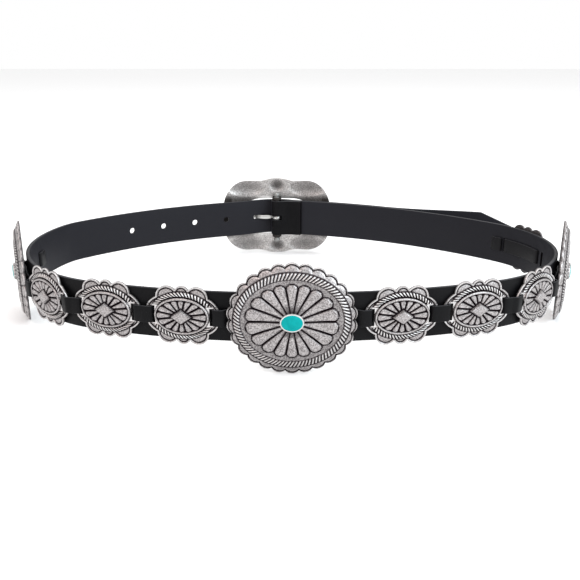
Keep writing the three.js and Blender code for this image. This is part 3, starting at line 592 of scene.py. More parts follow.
def rope(x, z, inner, outer, count, lean):
    """Ridge height 0 to 1 of a twisted rope between two ellipses, and its dark gaps."""
    v = between(x, z, inner, outer)
    middle = ((inner[0] + outer[0]) / 2, (inner[1] + outer[1]) / 2)
    turn = arc_share(x, z, middle) * count + lean * (v - 0.5)
    strand = np.abs(((turn % 1) - 0.5) * 2)
    ridge = np.sqrt(np.clip(1 - (2 * v - 1) ** 2, 0, 1))
    crown = np.clip(1 - (strand / 0.8) ** 2, 0, 1)
    height = ridge * (0.25 + 0.75 * crown)
    gaps = ease((strand - 0.42) / 0.25)
    border = ease((np.abs(2 * v - 1) - 0.74) / 0.2)
    dark = np.where(inside(v), np.maximum(gaps, border), 0)
    return np.where(inside(v), height, 0), dark


def line_at(d, width):
    """1 on a line and 0 beyond its width."""
    return ease(1 - np.abs(d) / width)


def outline_reach(circles, t):
    """Distance from the middle to an outline of round lobes, at polar angles from the top."""
    dx, dz = np.sin(t), np.cos(t)
    reach = np.zeros_like(t)
    for (cx, cz), radius in circles:
        along = cx * dx + cz * dz
        off = cx * dz - cz * dx
        far = along + np.sqrt(np.clip(radius ** 2 - off ** 2, 0, None))
        reach = np.where(np.abs(off) < radius, np.maximum(reach, far), reach)
    return reach


def depth_in(circles, x, z):
    """Depth inside the circle that each point lies deepest in."""
    depth = np.full(np.shape(x), -1e9)
    for (cx, cz), radius in circles:
        depth = np.maximum(depth, radius - np.hypot(x - cx, z - cz))
    return depth


# Large conchos.

BIG_HALF = (BIG_WIDTH / 2, BIG_HEIGHT / 2)
BIG_ROPE_OUTER = (33.8, 28.9)
BIG_ROPE_INNER = (29.6, 24.6)
BIG_PETAL_OVAL = (26.7, 22.0)
BEZEL_OUTER = (STONE_WIDTH / 2 + BEZEL_WALL, STONE_HEIGHT / 2 + BEZEL_WALL)
LOBE_RADIUS = 4.5
LOBE_SPREAD = 2.0
ARCH_IN = 1.5
ARCH_RADIUS = 4.9
ARCH_WIDTH = 0.62
BIG_STRANDS = 89
BIG_STRAND_LEAN = -1.3
BIG_COLUMNS = BIG_SCALLOPS * 24
BIG_CROWN = 6.25
BIG_DOME_FALL = 1.75
BIG_LEDGE_FALL = 0.1
BIG_ROPE_FALL = 1.2
BIG_RIM_FALL = 2.0
BIG_PETAL_GROOVE = 0.88
BIG_PETAL_RISE = 0.85
BIG_PETAL_SWELL = 0.4
BIG_ROPE_RISE = 1.15
BIG_RIM_RELIEF = 0.3
BIG_RIM_GROOVE = 0.35
BEZEL_TOP = BIG_DOME + 0.8
PETAL_END = 0.8
# Half width, half height and depth of the rings on the hollow back, from the rim to the middle.
BIG_BACK = [(31.0, 27.0, 0.3), (28.0, 24.0, 1.7), (23.5, 20.0, 3.0), (15.0, 12.5, 5.2), (7.0, 6.0, 6.1),
            (1, 1, 6.3)]
BIG_OVALS = [(0.6, 0.5), BIG_PETAL_OVAL, BIG_ROPE_INNER, BIG_ROPE_OUTER, BIG_HALF]
EDGE_SHARE = 0.994
# Painted shade: the hollow back of every concho is painted dark all over, as the shade inside its hollow.
BACK_PAINTED_SHADE = 0.75
EDGE_TARNISH = 0.3


def big_circles():
    """Circles of the rim's lobes, and of the grooves inside them that arch from notch to notch."""
    half = (BIG_HALF[0] - LOBE_RADIUS, BIG_HALF[1] - LOBE_RADIUS)
    t, share = ellipse_table((half[0] + LOBE_SPREAD, half[1] + LOBE_SPREAD), 4001)
    lobes = []
    arches = []
    for at in np.interp(np.arange(BIG_SCALLOPS) / BIG_SCALLOPS, share, t):
        middle = np.array([half[0] * np.sin(at), half[1] * np.cos(at)])
        normal = middle / np.square(BIG_HALF)
        lobes.append((middle, LOBE_RADIUS))
        arches.append((middle - ARCH_IN * normal / math.hypot(*normal), ARCH_RADIUS))
    return lobes, arches


BIG_LOBES, BIG_ARCHES = big_circles()


def petal_relief(x, z, count, half, squash, width):
    """Depth inside the nearest petal, negative in the grooves. Petals widen outwards and have round ends."""
    t = np.arctan2(x / half[0], z / half[1])
    turn = np.arctan2(np.sin(t), np.cos(t) * squash) / (2 * math.pi)
    across = (turn * count + 0.5) % 1 - 0.5
    out = ellipse(x, z, half)
    radius = np.hypot(x, z)
    reach = radius / np.maximum(out, 1e-6)
    pitch = 2 * math.pi * out * math.hypot(*half) / math.sqrt(2) / count
    hw = np.maximum(pitch / 2 - width / 2, 0.15)
    end = hw * PETAL_END
    s = np.clip((radius - (reach - end)) / end, 0, None)
    q = np.hypot(s, across * pitch / hw)
    return (1 - q) * hw


def big_front(x, z):
    """Height and tarnish of a large concho's front."""
    v_dome, v_ledge, v_rope, v_rim = shares_across(x, z, BIG_OVALS)
    height = BIG_CROWN - BIG_DOME_FALL * v_dome ** 1.7 - BIG_LEDGE_FALL * v_ledge
    height = height - BIG_ROPE_FALL * v_rope - BIG_RIM_FALL * v_rim
    squash = BIG_PETAL_OVAL[1] / BIG_PETAL_OVAL[0]
    depth = petal_relief(x, z, BIG_PETALS, BIG_PETAL_OVAL, squash, BIG_PETAL_GROOVE)
    height = height + BIG_PETAL_RISE * ease(depth / 0.42) + BIG_PETAL_SWELL * ease(depth / 3.0)
    dark = np.where(depth > 0, 1 - ease(depth / 0.3) + 0.14, 1 - 0.62 * ease((-depth - 0.7) / 0.3))
    beside_petals = np.maximum(dark, 0.8 * ease((v_ledge - 0.8) / 0.2))
    dark = np.where((v_ledge > 0.8) & (v_rope <= 0), beside_petals, dark)
    strand, rope_dark = rope(x, z, BIG_ROPE_INNER, BIG_ROPE_OUTER, BIG_STRANDS, BIG_STRAND_LEAN)
    height = height + BIG_ROPE_RISE * strand
    dark = np.where(v_rope > 0, rope_dark, dark)
    # Flange: a dark groove arches from notch to notch, with a bright border outside it.
    on_rim = v_rope >= 1
    depth = depth_in(BIG_ARCHES, x, z)
    groove = line_at(depth, ARCH_WIDTH)
    border = ease((-depth - 0.1) / 0.4)
    field = ease((depth - 0.3) / 1.6)
    relief = BIG_RIM_RELIEF * (border + field) - BIG_RIM_GROOVE * groove
    height = height + np.where(on_rim, relief, 0)
    beside_rope = just_outside(x, z, BIG_ROPE_OUTER, 0.7)
    rim_dark = np.maximum(np.maximum(ease(groove * 1.5), beside_rope), 0.2 * field) + 0.05
    dark = np.where(on_rim, rim_dark, dark)
    # Bezel: a thin wall round the stone.
    e = ellipse(x, z, BEZEL_OUTER)
    bezel = ease((1.02 - e) * 25)
    height = height * (1 - bezel) + bezel * BEZEL_TOP
    dark = np.where(e < 1.0, 0.0, np.maximum(dark, line_at((e - 1.1) * 6, 0.5)))
    return height, dark


def ring_of(x, out, z):
    """A ring of points that stand out in front of the back of the rim."""
    return np.stack([x, -np.broadcast_to(np.asarray(out, dtype=float), x.shape), z], axis=1)


def polar_concho(name, material, lobes, columns, front, bands, back_rings):
    """A closed disc. bands holds ovals, each with the number of rings from it to the next or the outline."""
    t = np.linspace(0, 2 * math.pi, columns, endpoint=False)
    edges = [(np.sin(t) * a, np.cos(t) * b) for (a, b), _ in bands]
    reach = outline_reach(lobes, t)
    # The outline is met along the same rays as the ellipses' points would be.
    theta = np.arctan2(edges[-1][0], edges[-1][1]) % (2 * math.pi)
    out_r = np.interp(theta, np.append(t, 2 * math.pi), np.append(reach, reach[0]))
    edges.append((np.sin(theta) * out_r, np.cos(theta) * out_r))
    rings = []
    for (_, count), (ax, az), (bx, bz) in zip(bands, edges, edges[1:]):
        for i in range(count):
            s = i / count
            x, z = ax + (bx - ax) * s, az + (bz - az) * s
            rings.append(ring_of(x, front(x, z)[0], z))
    x, z = edges[-1]
    edge_out = front(x, z)[0]
    for share, out in ((EDGE_SHARE, edge_out), (1, edge_out - 0.3), (1, 0.25), (EDGE_SHARE, 0)):
        rings.append(ring_of(x * share, out, z * share))
    for a, b, out in back_rings:
        rings.append(ring_of(np.sin(t) * a, out, np.cos(t) * b))
    verts, faces = loft(rings, caps=False)
    front_middle = len(verts)
    back_middle = front_middle + 1
    crown = front(np.zeros(1), np.zeros(1))[0][0]
    verts = np.concatenate([verts, [[0, -crown, 0], [0, -back_rings[-1][2], 0]]])
    last = (len(rings) - 1) * columns
    faces += [(front_middle, i, (i + 1) % columns) for i in range(columns)]
    faces += [(back_middle, last + (i + 1) % columns, last + i) for i in range(columns)]
    return make_object(name, verts, [f[::-1] for f in faces], material)


def tarnish_and_shade_of(obj, front):
    """Tarnish as on the relief in front, painted shade, dark and even, on the hollow back, and even tarnish
    on the edges.
    """
    co = coordinates(obj)
    x, z = co[:, 0], co[:, 2]
    height, dark = front(x, z)
    outside = -co[:, 1] > height - 0.5
    on_back = -co[:, 1] < height - 0.9
    # Outside, tarnish from the relief; on the back, painted shade; on the edges, even tarnish.
    set_dark(obj, np.where(outside, dark, np.where(on_back, BACK_PAINTED_SHADE, EDGE_TARNISH)))


def big_concho_mesh(material):
    bands = [((0.5, 0.4), 4)]
    for share, count in ((0.9, 6), (1.03, 3), (1.12, 26)):
        bands.append(((BEZEL_OUTER[0] * share, BEZEL_OUTER[1] * share), count))
    bands += [(BIG_PETAL_OVAL, 6), (BIG_ROPE_INNER, 12), (BIG_ROPE_OUTER, 13)]
    obj = polar_concho("big_concho_mesh", material, BIG_LOBES, BIG_COLUMNS, big_front, bands, BIG_BACK)
    tarnish_and_shade_of(obj, big_front)
    return obj


def bridge_mesh(material):
    """The plain bridge behind a large concho, as a bar on two posts with softened edges."""
    post = BIG_DOME * 0.8
    post_at = LACE_WIDTH / 2 + GAP + BRIDGE_POST / 2
    span = 2 * post_at + BRIDGE_POST
    parts = [box_at((0, BRIDGE_DROP - BRIDGE_THICKNESS / 2, 0), (BRIDGE_LENGTH, BRIDGE_THICKNESS, span))]
    for z in (-post_at, post_at):
        parts.append(box_at((0, BRIDGE_DROP - post / 2, z), (BRIDGE_LENGTH, post, BRIDGE_POST)))
    obj = make_object("bridge_mesh", *merged(parts), material)
    bevel = obj.modifiers.new("bevel", "BEVEL")
    bevel.width = 0.3 * MM
    bevel.segments = 2
    return obj


def stone_mesh(material):
    """An oval cabochon: a straight edge in the bezel and a low dome."""
    girdle = BIG_DOME + BEZEL_RISE - 0.15
    rings = [(1.0, BIG_DOME + 0.2), (1.0, girdle)]
    for i in range(1, 13):
        a = math.radians(90 * i / 13)
        rings.append((math.cos(a) ** 0.8, girdle + (STONE_DOME - 0.25) * math.sin(a)))
    t = np.linspace(0, 2 * math.pi, 64, endpoint=False)
    x, z = STONE_WIDTH / 2 * np.sin(t), STONE_HEIGHT / 2 * np.cos(t)
    verts, faces = loft([ring_of(x * share, out, z * share) for share, out in rings])
    return make_object("stone_mesh", verts, [f[::-1] for f in faces], material)


# Small conchos.

SMALL_HALF = (SMALL_WIDTH / 2, SMALL_HEIGHT / 2)
SMALL_ROPE_OUTER = (19.6, 14.6)
SMALL_ROPE_INNER = (16.7, 11.65)
SMALL_RIM_OUTER = (16.4, 11.25)
SMALL_PETAL_OVAL = (15.1, 9.6)
SMALL_STRANDS = 50
SMALL_STRAND_LEAN = 1.25
SMALL_COLUMNS = 496
SMALL_CROWN = 3.3
SMALL_DOME_FALL = 0.6
SMALL_LEDGE_FALL = 0.9
SMALL_ROPE_FALL = 0.5
SMALL_PETAL_SQUASH = 1 / 1.3
SMALL_PETAL_GROOVE = 0.78
SMALL_PETAL_RISE = 0.8
OVAL_RIM_FOOT = 2.7
OVAL_RIM_RISE = 0.8
SMALL_ROPE_RISE = 1.1
ROPE_ENDS_AT = 5.9
FLANGE_OUT = 1.15
FLANGE_RELIEF = 0.3
END_BAR_HALF = 6.0
DIAMOND_RISE = 0.75
DIAMOND_BEVEL = 0.45
SMALL_OVALS = [SMALL_PETAL_OVAL, SMALL_RIM_OUTER, SMALL_ROPE_INNER, SMALL_ROPE_OUTER]
SMALL_BACK = [(19.5, 14.5, 0.0), (14.0, 9.6, 0.5), (8.0, 6.0, 1.7), (1, 1, 2.1)]
# Corners of the outline as shares of half the size, and how far the lobe after each one bulges.
SMALL_CORNERS = [(0.176, 0.861, 0.134), (-0.176, 0.861, 0.24), (-0.686, 0.6, None), (-0.686, -0.6, 0.24)]
SMALL_CORNERS += [(-x, -z, bulge) for x, z, bulge in SMALL_CORNERS]


def small_lobes():
    """Circle of each lobe: centre and radius."""
    corners = [np.array([x * SMALL_HALF[0], z * SMALL_HALF[1]]) for x, z, _ in SMALL_CORNERS]
    lobes = []
    for k, (x, _, bulge) in enumerate(SMALL_CORNERS):
        start, end = corners[k], corners[(k + 1) % len(corners)]
        chord = end - start
        length = np.hypot(*chord)
        rise = SMALL_HALF[0] * (1 - abs(x)) if bulge is None else bulge * SMALL_HALF[1]
        normal = np.array([chord[1], -chord[0]]) / length
        radius = ((length / 2) ** 2 + rise ** 2) / (2 * rise)
        lobes.append(((start + end) / 2 + normal * (rise - radius), radius))
    return lobes


SMALL_LOBES = small_lobes()


def small_front(x, z):
    """Height and tarnish of a small concho's front."""
    v_dome, v_ring, v_ledge, v_rope = shares_across(x, z, [(0.6, 0.4)] + SMALL_OVALS)
    height = SMALL_CROWN - SMALL_DOME_FALL * v_dome ** 1.6
    height = height - SMALL_LEDGE_FALL * v_ledge - SMALL_ROPE_FALL * v_rope
    depth = petal_relief(x, z, SMALL_PETALS, SMALL_PETAL_OVAL, SMALL_PETAL_SQUASH, SMALL_PETAL_GROOVE)
    height = height + SMALL_PETAL_RISE * ease(depth / 0.42)
    dark = np.where(depth > 0, 1 - ease(depth / 0.28) + 0.13, 1.0)
    # Smooth raised oval rim round the petals.
    ring = np.sqrt(np.clip(1 - (2 * v_ring - 1) ** 2, 0, 1))
    height = np.where(inside(v_ring), OVAL_RIM_FOOT + OVAL_RIM_RISE * ring, height)
    dark = np.where(inside(v_ring), ease((0.3 - v_ring) / 0.2) + ease((v_ring - 0.85) / 0.15) + 0.09, dark)
    # Rope above and below only. It fades out at the ends of its arcs.
    strand, rope_dark = rope(x, z, SMALL_ROPE_INNER, SMALL_ROPE_OUTER, SMALL_STRANDS, SMALL_STRAND_LEAN)
    shown = ease((np.abs(z) - ROPE_ENDS_AT) / 0.6)
    height = height + np.where(inside(v_rope), SMALL_ROPE_RISE * strand * shown, 0)
    dark = np.where(inside(v_rope), rope_dark * shown, dark)
    dark = np.where(inside(v_ledge), 0.9 * shown + 0.2, dark)
    # Flange with a bright border and a dark groove along each lobe.
    on_flange = v_rope >= 1
    d = depth_in(SMALL_LOBES, x, z)
    border = ease((1.05 - d) / 0.3)
    groove = line_at(d - 1.45, 0.6)
    low = 0.35 * ease((d - 1.9) / 2.0)
    flange = FLANGE_OUT + FLANGE_RELIEF * (border - groove) + low
    beside_rope = just_outside(x, z, SMALL_ROPE_OUTER, 0.6) * shown
    height = np.where(on_flange, flange, height)
    flange_dark = np.maximum(ease(groove * 1.5) * 0.95, beside_rope) + 0.1 * (1 - border) + 0.05
    dark = np.where(on_flange, flange_dark, dark)
    # Plain bars at the ends, past the slots, where the lace lies.
    end_bar = ease((np.abs(x) - SLOT_OUTER + 0.6) / 0.6) * (1 - ease((np.abs(z) - END_BAR_HALF) / 0.8))
    height = height * (1 - end_bar) + FLANGE_OUT * end_bar
    # Diamond in the middle.
    k = np.abs(x) / (DIAMOND_WIDTH / 2) + np.abs(z) / (DIAMOND_HEIGHT / 2)
    top = ease((1.0 - k) / 0.1)
    ground = ease((1.3 - k) / 0.1)
    height = height * (1 - ground) + ground * SMALL_CROWN
    facet = np.clip((k - 0.62) / 0.38, 0, 1)
    height = height * (1 - top) + top * (SMALL_DOME + DIAMOND_RISE - DIAMOND_BEVEL * facet)
    round_diamond = ease((1.3 - k) / 0.12) * ease((k - 0.95) / 0.06)
    dark = np.where(k < 0.97, 0.13, np.maximum(dark, round_diamond))
    return height, dark


def small_concho_mesh(material):
    bands = [((0.5, 0.35), 14), ((6.8, 4.8), 16)] + list(zip(SMALL_OVALS, (6, 1, 12, 11)))
    name = "small_concho_mesh"
    obj = polar_concho(name, material, SMALL_LOBES, SMALL_COLUMNS, small_front, bands, SMALL_BACK)
    slot = (SLOT_WIDTH, 8 * SMALL_DOME, LACE_WIDTH + SLOT_SPARE)
    apply_cut(obj, [box_at((side * SLOT_MIDDLE, 0, 0), slot) for side in (-1, 1)])
    tarnish_and_shade_of(obj, small_front)
    return obj


# Buckle.

FRAME_SIDE_OUT = 0.2
FRAME_MIDDLE_OUT = 6.0
FRAME_ACROSS = 20
WINDOW_HALF = STRAP_WIDTH / 2 + WINDOW_SPARE
LOBE_AT = (27.0, 25.8)
LOBE_HALF = (16.5, 7.6)
BOSS_AT = 27.4
BOSS_HALF = (7.0, 5.6)
LOBE_RAISED = 2.2
LOBE_DISHED = 2.0
BOSS_RAISED = 1.8
BOSS_DISHED = 1.5
SIDE_BAR_RAISED = 0.6
TIP_RUN = 5.0
# Nearly black: painted shade of the sockets round the bar's heads.
LUG_PAINTED_SHADE = 0.93
PIN_TARNISH = 0.4
# A quarter of each outline from the top to the side, as shares of half the size.
OUTER_QUARTER = [(0, 1), (0.12, 0.99), (0.21, 0.955), (0.31, 0.92), (0.43, 0.92), (0.56, 0.94), (0.69, 0.91),
                 (0.81, 0.81), (0.9, 0.67), (0.96, 0.5), (0.99, 0.32), (1, 0.14), (1, 0)]
INNER_QUARTER = [(0, 1), (0.13, 1), (0.24, 1), (0.35, 1), (0.46, 0.96), (0.56, 0.86), (0.7, 0.8),
                 (0.83, 0.78), (0.94, 0.74), (0.985, 0.64), (1, 0.5), (1, 0.25), (1, 0)]


def frame_out(x):
    """How far outwards the back of the bowed frame lies at x."""
    return FRAME_MIDDLE_OUT - (FRAME_MIDDLE_OUT - FRAME_SIDE_OUT) * (2 * x / FRAME_WIDTH) ** 2


def whole_curve(quarter, size):
    """A quarter from the top to the side, mirrored into a whole ring, smoothed, and scaled to half sizes."""
    down = np.array(quarter[:-1])
    up = np.array(quarter[:0:-1])
    ring = np.concatenate([down, up * [1, -1], down * [-1, -1], up * [-1, 1]]) * size
    for _ in range(3):
        after = np.roll(ring, -1, axis=0)
        mid = (ring + after) / 2
        both = np.empty((2 * len(ring), 2))
        both[0::2] = ring
        both[1::2] = mid
        before = np.roll(both, 1, axis=0)
        after = np.roll(both, -1, axis=0)
        ring = both * 0.5 + (before + after) * 0.25
    # The smoothing draws the curve in a little, so it is scaled back to its size.
    return ring * (np.array(size) / np.abs(ring).max(axis=0))


def frame_relief(x, z):
    """Height of the buckle's embossed form. The back is dished where the front is raised."""
    ax, az = np.abs(x), np.abs(z)
    lobe = np.clip(1 - ellipse(ax - LOBE_AT[0], az - LOBE_AT[1], LOBE_HALF) ** 2, 0, 1)
    boss = np.clip(1 - ellipse(ax, az - BOSS_AT, BOSS_HALF) ** 2, 0, 1)
    return lobe ** 0.7, boss ** 0.8


def buckle_frame(material):
    """The frame as a ring of sections from the window to the outer edge, embossed and dished behind."""
    outer = whole_curve(OUTER_QUARTER, (FRAME_WIDTH / 2, FRAME_HEIGHT / 2))
    inner = whole_curve(INNER_QUARTER, (FRAME_WIDTH / 2 - FRAME_SIDE_BAR, WINDOW_HALF))
    shares = (1 - np.cos(np.linspace(0, math.pi, FRAME_ACROSS + 1))) / 2
    rings = []
    for o, i in zip(outer, inner):
        span = np.hypot(*(o - i))
        side = np.clip((12 - span) / 6, 0, 1)
        top, low = [], []
        for s in shares:
            p = i + (o - i) * s
            lobe, boss = frame_relief(p[0], p[1])
            soft = math.sqrt(max(0.0, 1 - (2 * s - 1) ** 8))
            rise = FRAME_THICKNESS * (0.35 + 0.65 * soft) + 0.5 * soft
            raised = (LOBE_RAISED * lobe + BOSS_RAISED * boss) * (1 - side)
            front = rise + raised + SIDE_BAR_RAISED * side * math.sin(math.pi * s)
            back = 0.3 * (1 - soft) + (LOBE_DISHED * lobe + BOSS_DISHED * boss) * (1 - side)
            y0 = frame_out(p[0])
            top.append((p[0], -(y0 + front), p[1]))
            low.append((p[0], -(y0 + back), p[1]))
        rings.append(np.array(top + low[::-1]))
    verts, faces = loft(rings, closed=True)
    obj = make_object("buckle_frame_skin", verts, [f[::-1] for f in faces], material)
    co = coordinates(obj)
    x, z = np.abs(co[:, 0]), np.abs(co[:, 2])
    lobe, boss = frame_relief(x, z)
    ridge = ease(1 - (z - WINDOW_HALF) / 3.5) * (x < 40)
    # Painted shadow: corner darkens the frame near the ends of the window, beside the strap, where the strap
    # casts its shadow.
    corner = ease((x - 14) / 12) * ease((21.5 - z) / 6.5)
    set_dark(obj, 0.12 + 0.46 * lobe + 0.7 * boss - 0.16 * ridge * (1 - boss) + 0.8 * corner)
    return obj


def lathe(profile):
    """A body turned about Z from (radius, z) pairs, closed at both ends."""
    t = np.linspace(0, 2 * math.pi, LATHE_SIDES, endpoint=False)
    rings = [np.stack([r * np.cos(t), r * np.sin(t), np.full_like(t, z)], axis=1) for r, z in profile]
    return loft(rings)


def lugs(material):
    """Lugs on the back edge of the frame, which hold the bar: a ring and a foot each."""
    outer = BAR_RADIUS + GAP + LUG_WALL
    foot = FRAME_MIDDLE_OUT + 1.2
    half = outer * 0.8
    foot_half = half * 1.3
    base_z = STRAP_WIDTH / 2 + GAP
    bodies = []
    for side in (-1, 1):
        profile = [(outer - 0.5, 0), (outer, 0.5), (outer, LUG_HEIGHT - 0.6), (outer - 0.6, LUG_HEIGHT)]
        verts, faces = lathe([(r, side * (base_z + z)) for r, z in profile])
        bodies.append((verts, [f[::side] for f in faces]))
        ends = sorted((side * base_z, side * (base_z + LUG_HEIGHT)))
        bodies.append(box([(x, y, z) for z in ends
                           for x, y in ((-half, 0), (half, 0), (foot_half, -foot), (-foot_half, -foot))]))
    obj = make_object("buckle_lugs", *merged(bodies), material)
    # The lugs are painted nearly black: painted shade of the dark sockets round the bar's heads.
    set_dark(obj, LUG_PAINTED_SHADE)
    return obj


def bar(material):
    """The bar with its two round heads, which are flat at the very ends."""
    shank = STRAP_WIDTH / 2 + LUG_HEIGHT + 2 * GAP
    head = BAR_HEAD_RADIUS
    end = shank + 1.4 * head
    half = [(BAR_RADIUS, shank)]
    for turn in range(-50, 90, 10):
        a = math.radians(turn)
        z = shank + head * 0.75 + head * math.sin(a) * 0.98
        half.append((max(0.05, head * math.cos(a)), min(end, z)))
    profile = [(r, -z) for r, z in half[::-1]] + [(BAR_RADIUS, 0)] + half
    obj = make_object("buckle_bar_skin", *lathe(profile), material)
    set_dark(obj, PIN_TARNISH)
    return obj


def prong(material):
    """The prong from the bar to its rest on the side bar, with an eye round the bar."""
    side_bar = frame_out(FRAME_WIDTH / 2 - FRAME_SIDE_BAR) + FRAME_THICKNESS + FRAME_RISE * 0.3
    rest = side_bar + GAP + PRONG_THICKNESS / 2
    tip = FRAME_WIDTH / 2 - 1
    # Distance from the bar and outwards: past the hole in the strap, up, and along to the side bar.
    line = np.array([(2.6, 1.2), (PRONG_REACH - 5, 0.8), (PRONG_REACH - 3.5, 0.9),
                     (PRONG_REACH + 3.5, rest - 0.5), (PRONG_REACH + 5.5, rest), (tip - 4, rest),
                     (tip, rest - 0.2)])
    for _ in range(3):
        line = rounded_wide(line)
    rings = []
    for p, d in zip(line, tangents(line)):
        normal = np.array([-d[1], d[0]])
        x = p[0]
        wide = PRONG_WIDTH / 2 * (0.62 + 0.38 * min(1, max(0, (x - 6.0) / 0.9)))
        thick = PRONG_THICKNESS / 2
        near_tip = max(0, (x - tip + TIP_RUN) / TIP_RUN) ** 2
        wide *= 1 - 0.45 * near_tip
        thick *= 1 - 0.35 * near_tip
        ring = []
        for i in range(20):
            a = 2 * math.pi * i / 20
            c, s = math.cos(a), math.sin(a)
            o = thick * np.sign(c) * abs(c) ** 0.6
            w = wide * np.sign(s) * abs(s) ** 0.6
            q = p + normal * o
            ring.append((q[0], -q[1], w))
        rings.append(np.array(ring))
    # The eye is a closed ring.
    eye_inner = BAR_RADIUS + 0.1
    eye_outer = BAR_RADIUS + GAP + PRONG_THICKNESS * 0.8
    half = PRONG_WIDTH / 2 * 0.75
    t = np.linspace(0, 2 * math.pi, LATHE_SIDES, endpoint=False)
    section = [(eye_inner, -half), (eye_outer - 0.3, -half), (eye_outer, -half + 0.3),
               (eye_outer, half - 0.3), (eye_outer - 0.3, half), (eye_inner, half)]
    eye = [np.array([(r * math.cos(a), r * math.sin(a), z) for r, z in section]) for a in t]
    return make_object("buckle_prong_skin", *merged([loft(rings), loft(eye, closed=True)]), material)


def rounded_wide(line):
    """Cuts every corner of a line a quarter of the way along its two sides."""
    points = [line[0]]
    for i in range(1, len(line) - 1):
        points.append(line[i] + (line[i - 1] - line[i]) * 0.25)
        points.append(line[i] + (line[i + 1] - line[i]) * 0.25)
    points.append(line[-1])
    return np.array(points)


# Strap and lace.

STRAP_EDGE = 0.45
LACE_EDGE = 0.35
USED_HOLE_HALF = (2.8, 3.2)


def main_strap(material):
    """The strap, tapered to its tip, with its slits and holes."""
    line = strap_line()
    length = np.concatenate([[0], np.cumsum(np.hypot(*np.diff(line, axis=0).T))])
    from_tip = length[-1] - length
    half = np.full(len(line), STRAP_WIDTH / 2)
    taper = from_tip < TIP_TAPER
    half[taper] = TIP_WIDTH / 2 + (STRAP_WIDTH - TIP_WIDTH) / 2 * from_tip[taper] / TIP_TAPER
    verts, faces = loft(band(line, STRAP_THICKNESS, half, STRAP_EDGE))
    obj = make_object("main_strap_skin", verts, faces, material)
    bar_left = BAR_AT - LOOP_LENGTH
    cutters = []

    def cut_box(middle, a, half_along, half_out, half_z):
        cutters.append(box_cutter(middle + OFFSET, a, half_along, half_out, half_z))

    def cut_slit(at, along):
        slit = (LACE_THICKNESS / 2 + SLIT_SPARE, LAYER * 1.5, (LACE_WIDTH + SLOT_SPARE) / 2)
        cut_box(on_loop(at + along)[0], on_loop(at)[1], *slit)

    for at in SMALL_CONCHOS.values():
        cut_slit(at, -SLOT_MIDDLE)
        cut_slit(at, SLOT_MIDDLE)
    for at in (LEFT_SLIT_AT, -LEFT_SLIT_AT, RIGHT_SLIT_AT):
        cut_slit(at, 0)
    for i in range(1, HOLE_COUNT):
        point, a = on_loop(bar_left + PRONG_REACH + i * HOLE_PITCH)
        cutters.append(round_cutter(point + OFFSET, a, HOLE_RADIUS, 4))
    # The hole in use, and the slot for the prong's eye in the fold.
    cut_box(*on_loop(bar_left + PRONG_REACH, FREE_OVER_BAR - 1.0), *USED_HOLE_HALF, PRONG_WIDTH / 2 + 0.1)
    point, a = on_loop(BAR_AT, BAR_OUT)
    start = -(BAR_RADIUS + GAP + PRONG_THICKNESS)
    end = FOLD_RADIUS + STRAP_THICKNESS
    fold_half = FOLD_RADIUS + STRAP_THICKNESS / 2 + 0.1
    middle = point + directions(a)[0] * (start + end) / 2
    cut_box(middle, a, (end - start) / 2, fold_half, PRONG_WIDTH / 2 + GAP)
    apply_cut(obj, cutters)
    return obj


def lace(material):
    verts, faces = loft(band(lace_line(), LACE_THICKNESS, LACE_WIDTH / 2, LACE_EDGE))
    return make_object("lace_skin", verts, faces, material)


# Materials.

BRIGHT = (0.72, 0.71, 0.7)
PIN_BRIGHT = (0.6, 0.6, 0.58)
BLACK = (0.002, 0.002, 0.0025)
# Painted highlight on the top and bottom edges of the strap and lace.
PAINTED_EDGE_HIGHLIGHT = (0.03, 0.03, 0.033)


def grey(v):
    return v, v, v


class Look:
    """A material with one principled shader, and the nodes that feed it."""

    def __init__(self, name):
        self.material = bpy.data.materials.new(name)
        self.material.use_nodes = True
        self.nodes = self.material.node_tree.nodes
        self.nodes.clear()
        self.shader = self.nodes.new("ShaderNodeBsdfPrincipled")
        output = self.nodes.new("ShaderNodeOutputMaterial")
        self.feed(output.inputs["Surface"], self.shader.outputs["BSDF"])
        self.texture = self.nodes.new("ShaderNodeTexCoord").outputs

    def feed(self, socket, value):
        """Gives a socket a number, a colour or what another node puts out."""
        if isinstance(value, (int, float)):
            socket.default_value = value
        elif isinstance(value, tuple):
            socket.default_value = (*value, 1)
        else:
            self.material.node_tree.links.new(value, socket)

    def add(self, kind, output, **given):
        """A node with some of its inputs given by name. Returns one of its outputs."""
        node = self.nodes.new("ShaderNode" + kind)
        for name, value in given.items():
            self.feed(node.inputs[name], value)
        return node.outputs[output]

    def give(self, name, value):
        self.feed(self.shader.inputs[name], value)

    def ramp(self, source, *stops):
        node = self.nodes.new("ShaderNodeValToRGB")
        for element, (place, color) in zip(node.color_ramp.elements, stops):
            element.position = place
            element.color = (*color, 1)
        self.feed(node.inputs["Fac"], source)
        return node.outputs["Color"]

    def noise(self, scale, detail, rough):
        where = self.texture["Object"]
        return self.add("TexNoise", "Fac", Vector=where, Scale=scale, Detail=detail, Roughness=rough)

    def calculate(self, operation, a, b=0):
        node = self.nodes.new("ShaderNodeMath")
        node.operation = operation
        self.feed(node.inputs[0], a)
        self.feed(node.inputs[1], b)
        return node.outputs[0]

    def mix(self, factor, a, b, blend="MIX"):
        node = self.nodes.new("ShaderNodeMix")
        node.data_type = "RGBA"
        node.blend_type = blend
        for number, value in ((0, factor), (6, a), (7, b)):
            self.feed(node.inputs[number], value)
        return node.outputs[2]

    def bump(self, height, strength, distance, **before):
        return self.add("Bump", "Normal", Strength=strength, Distance=distance, Height=height, **before)


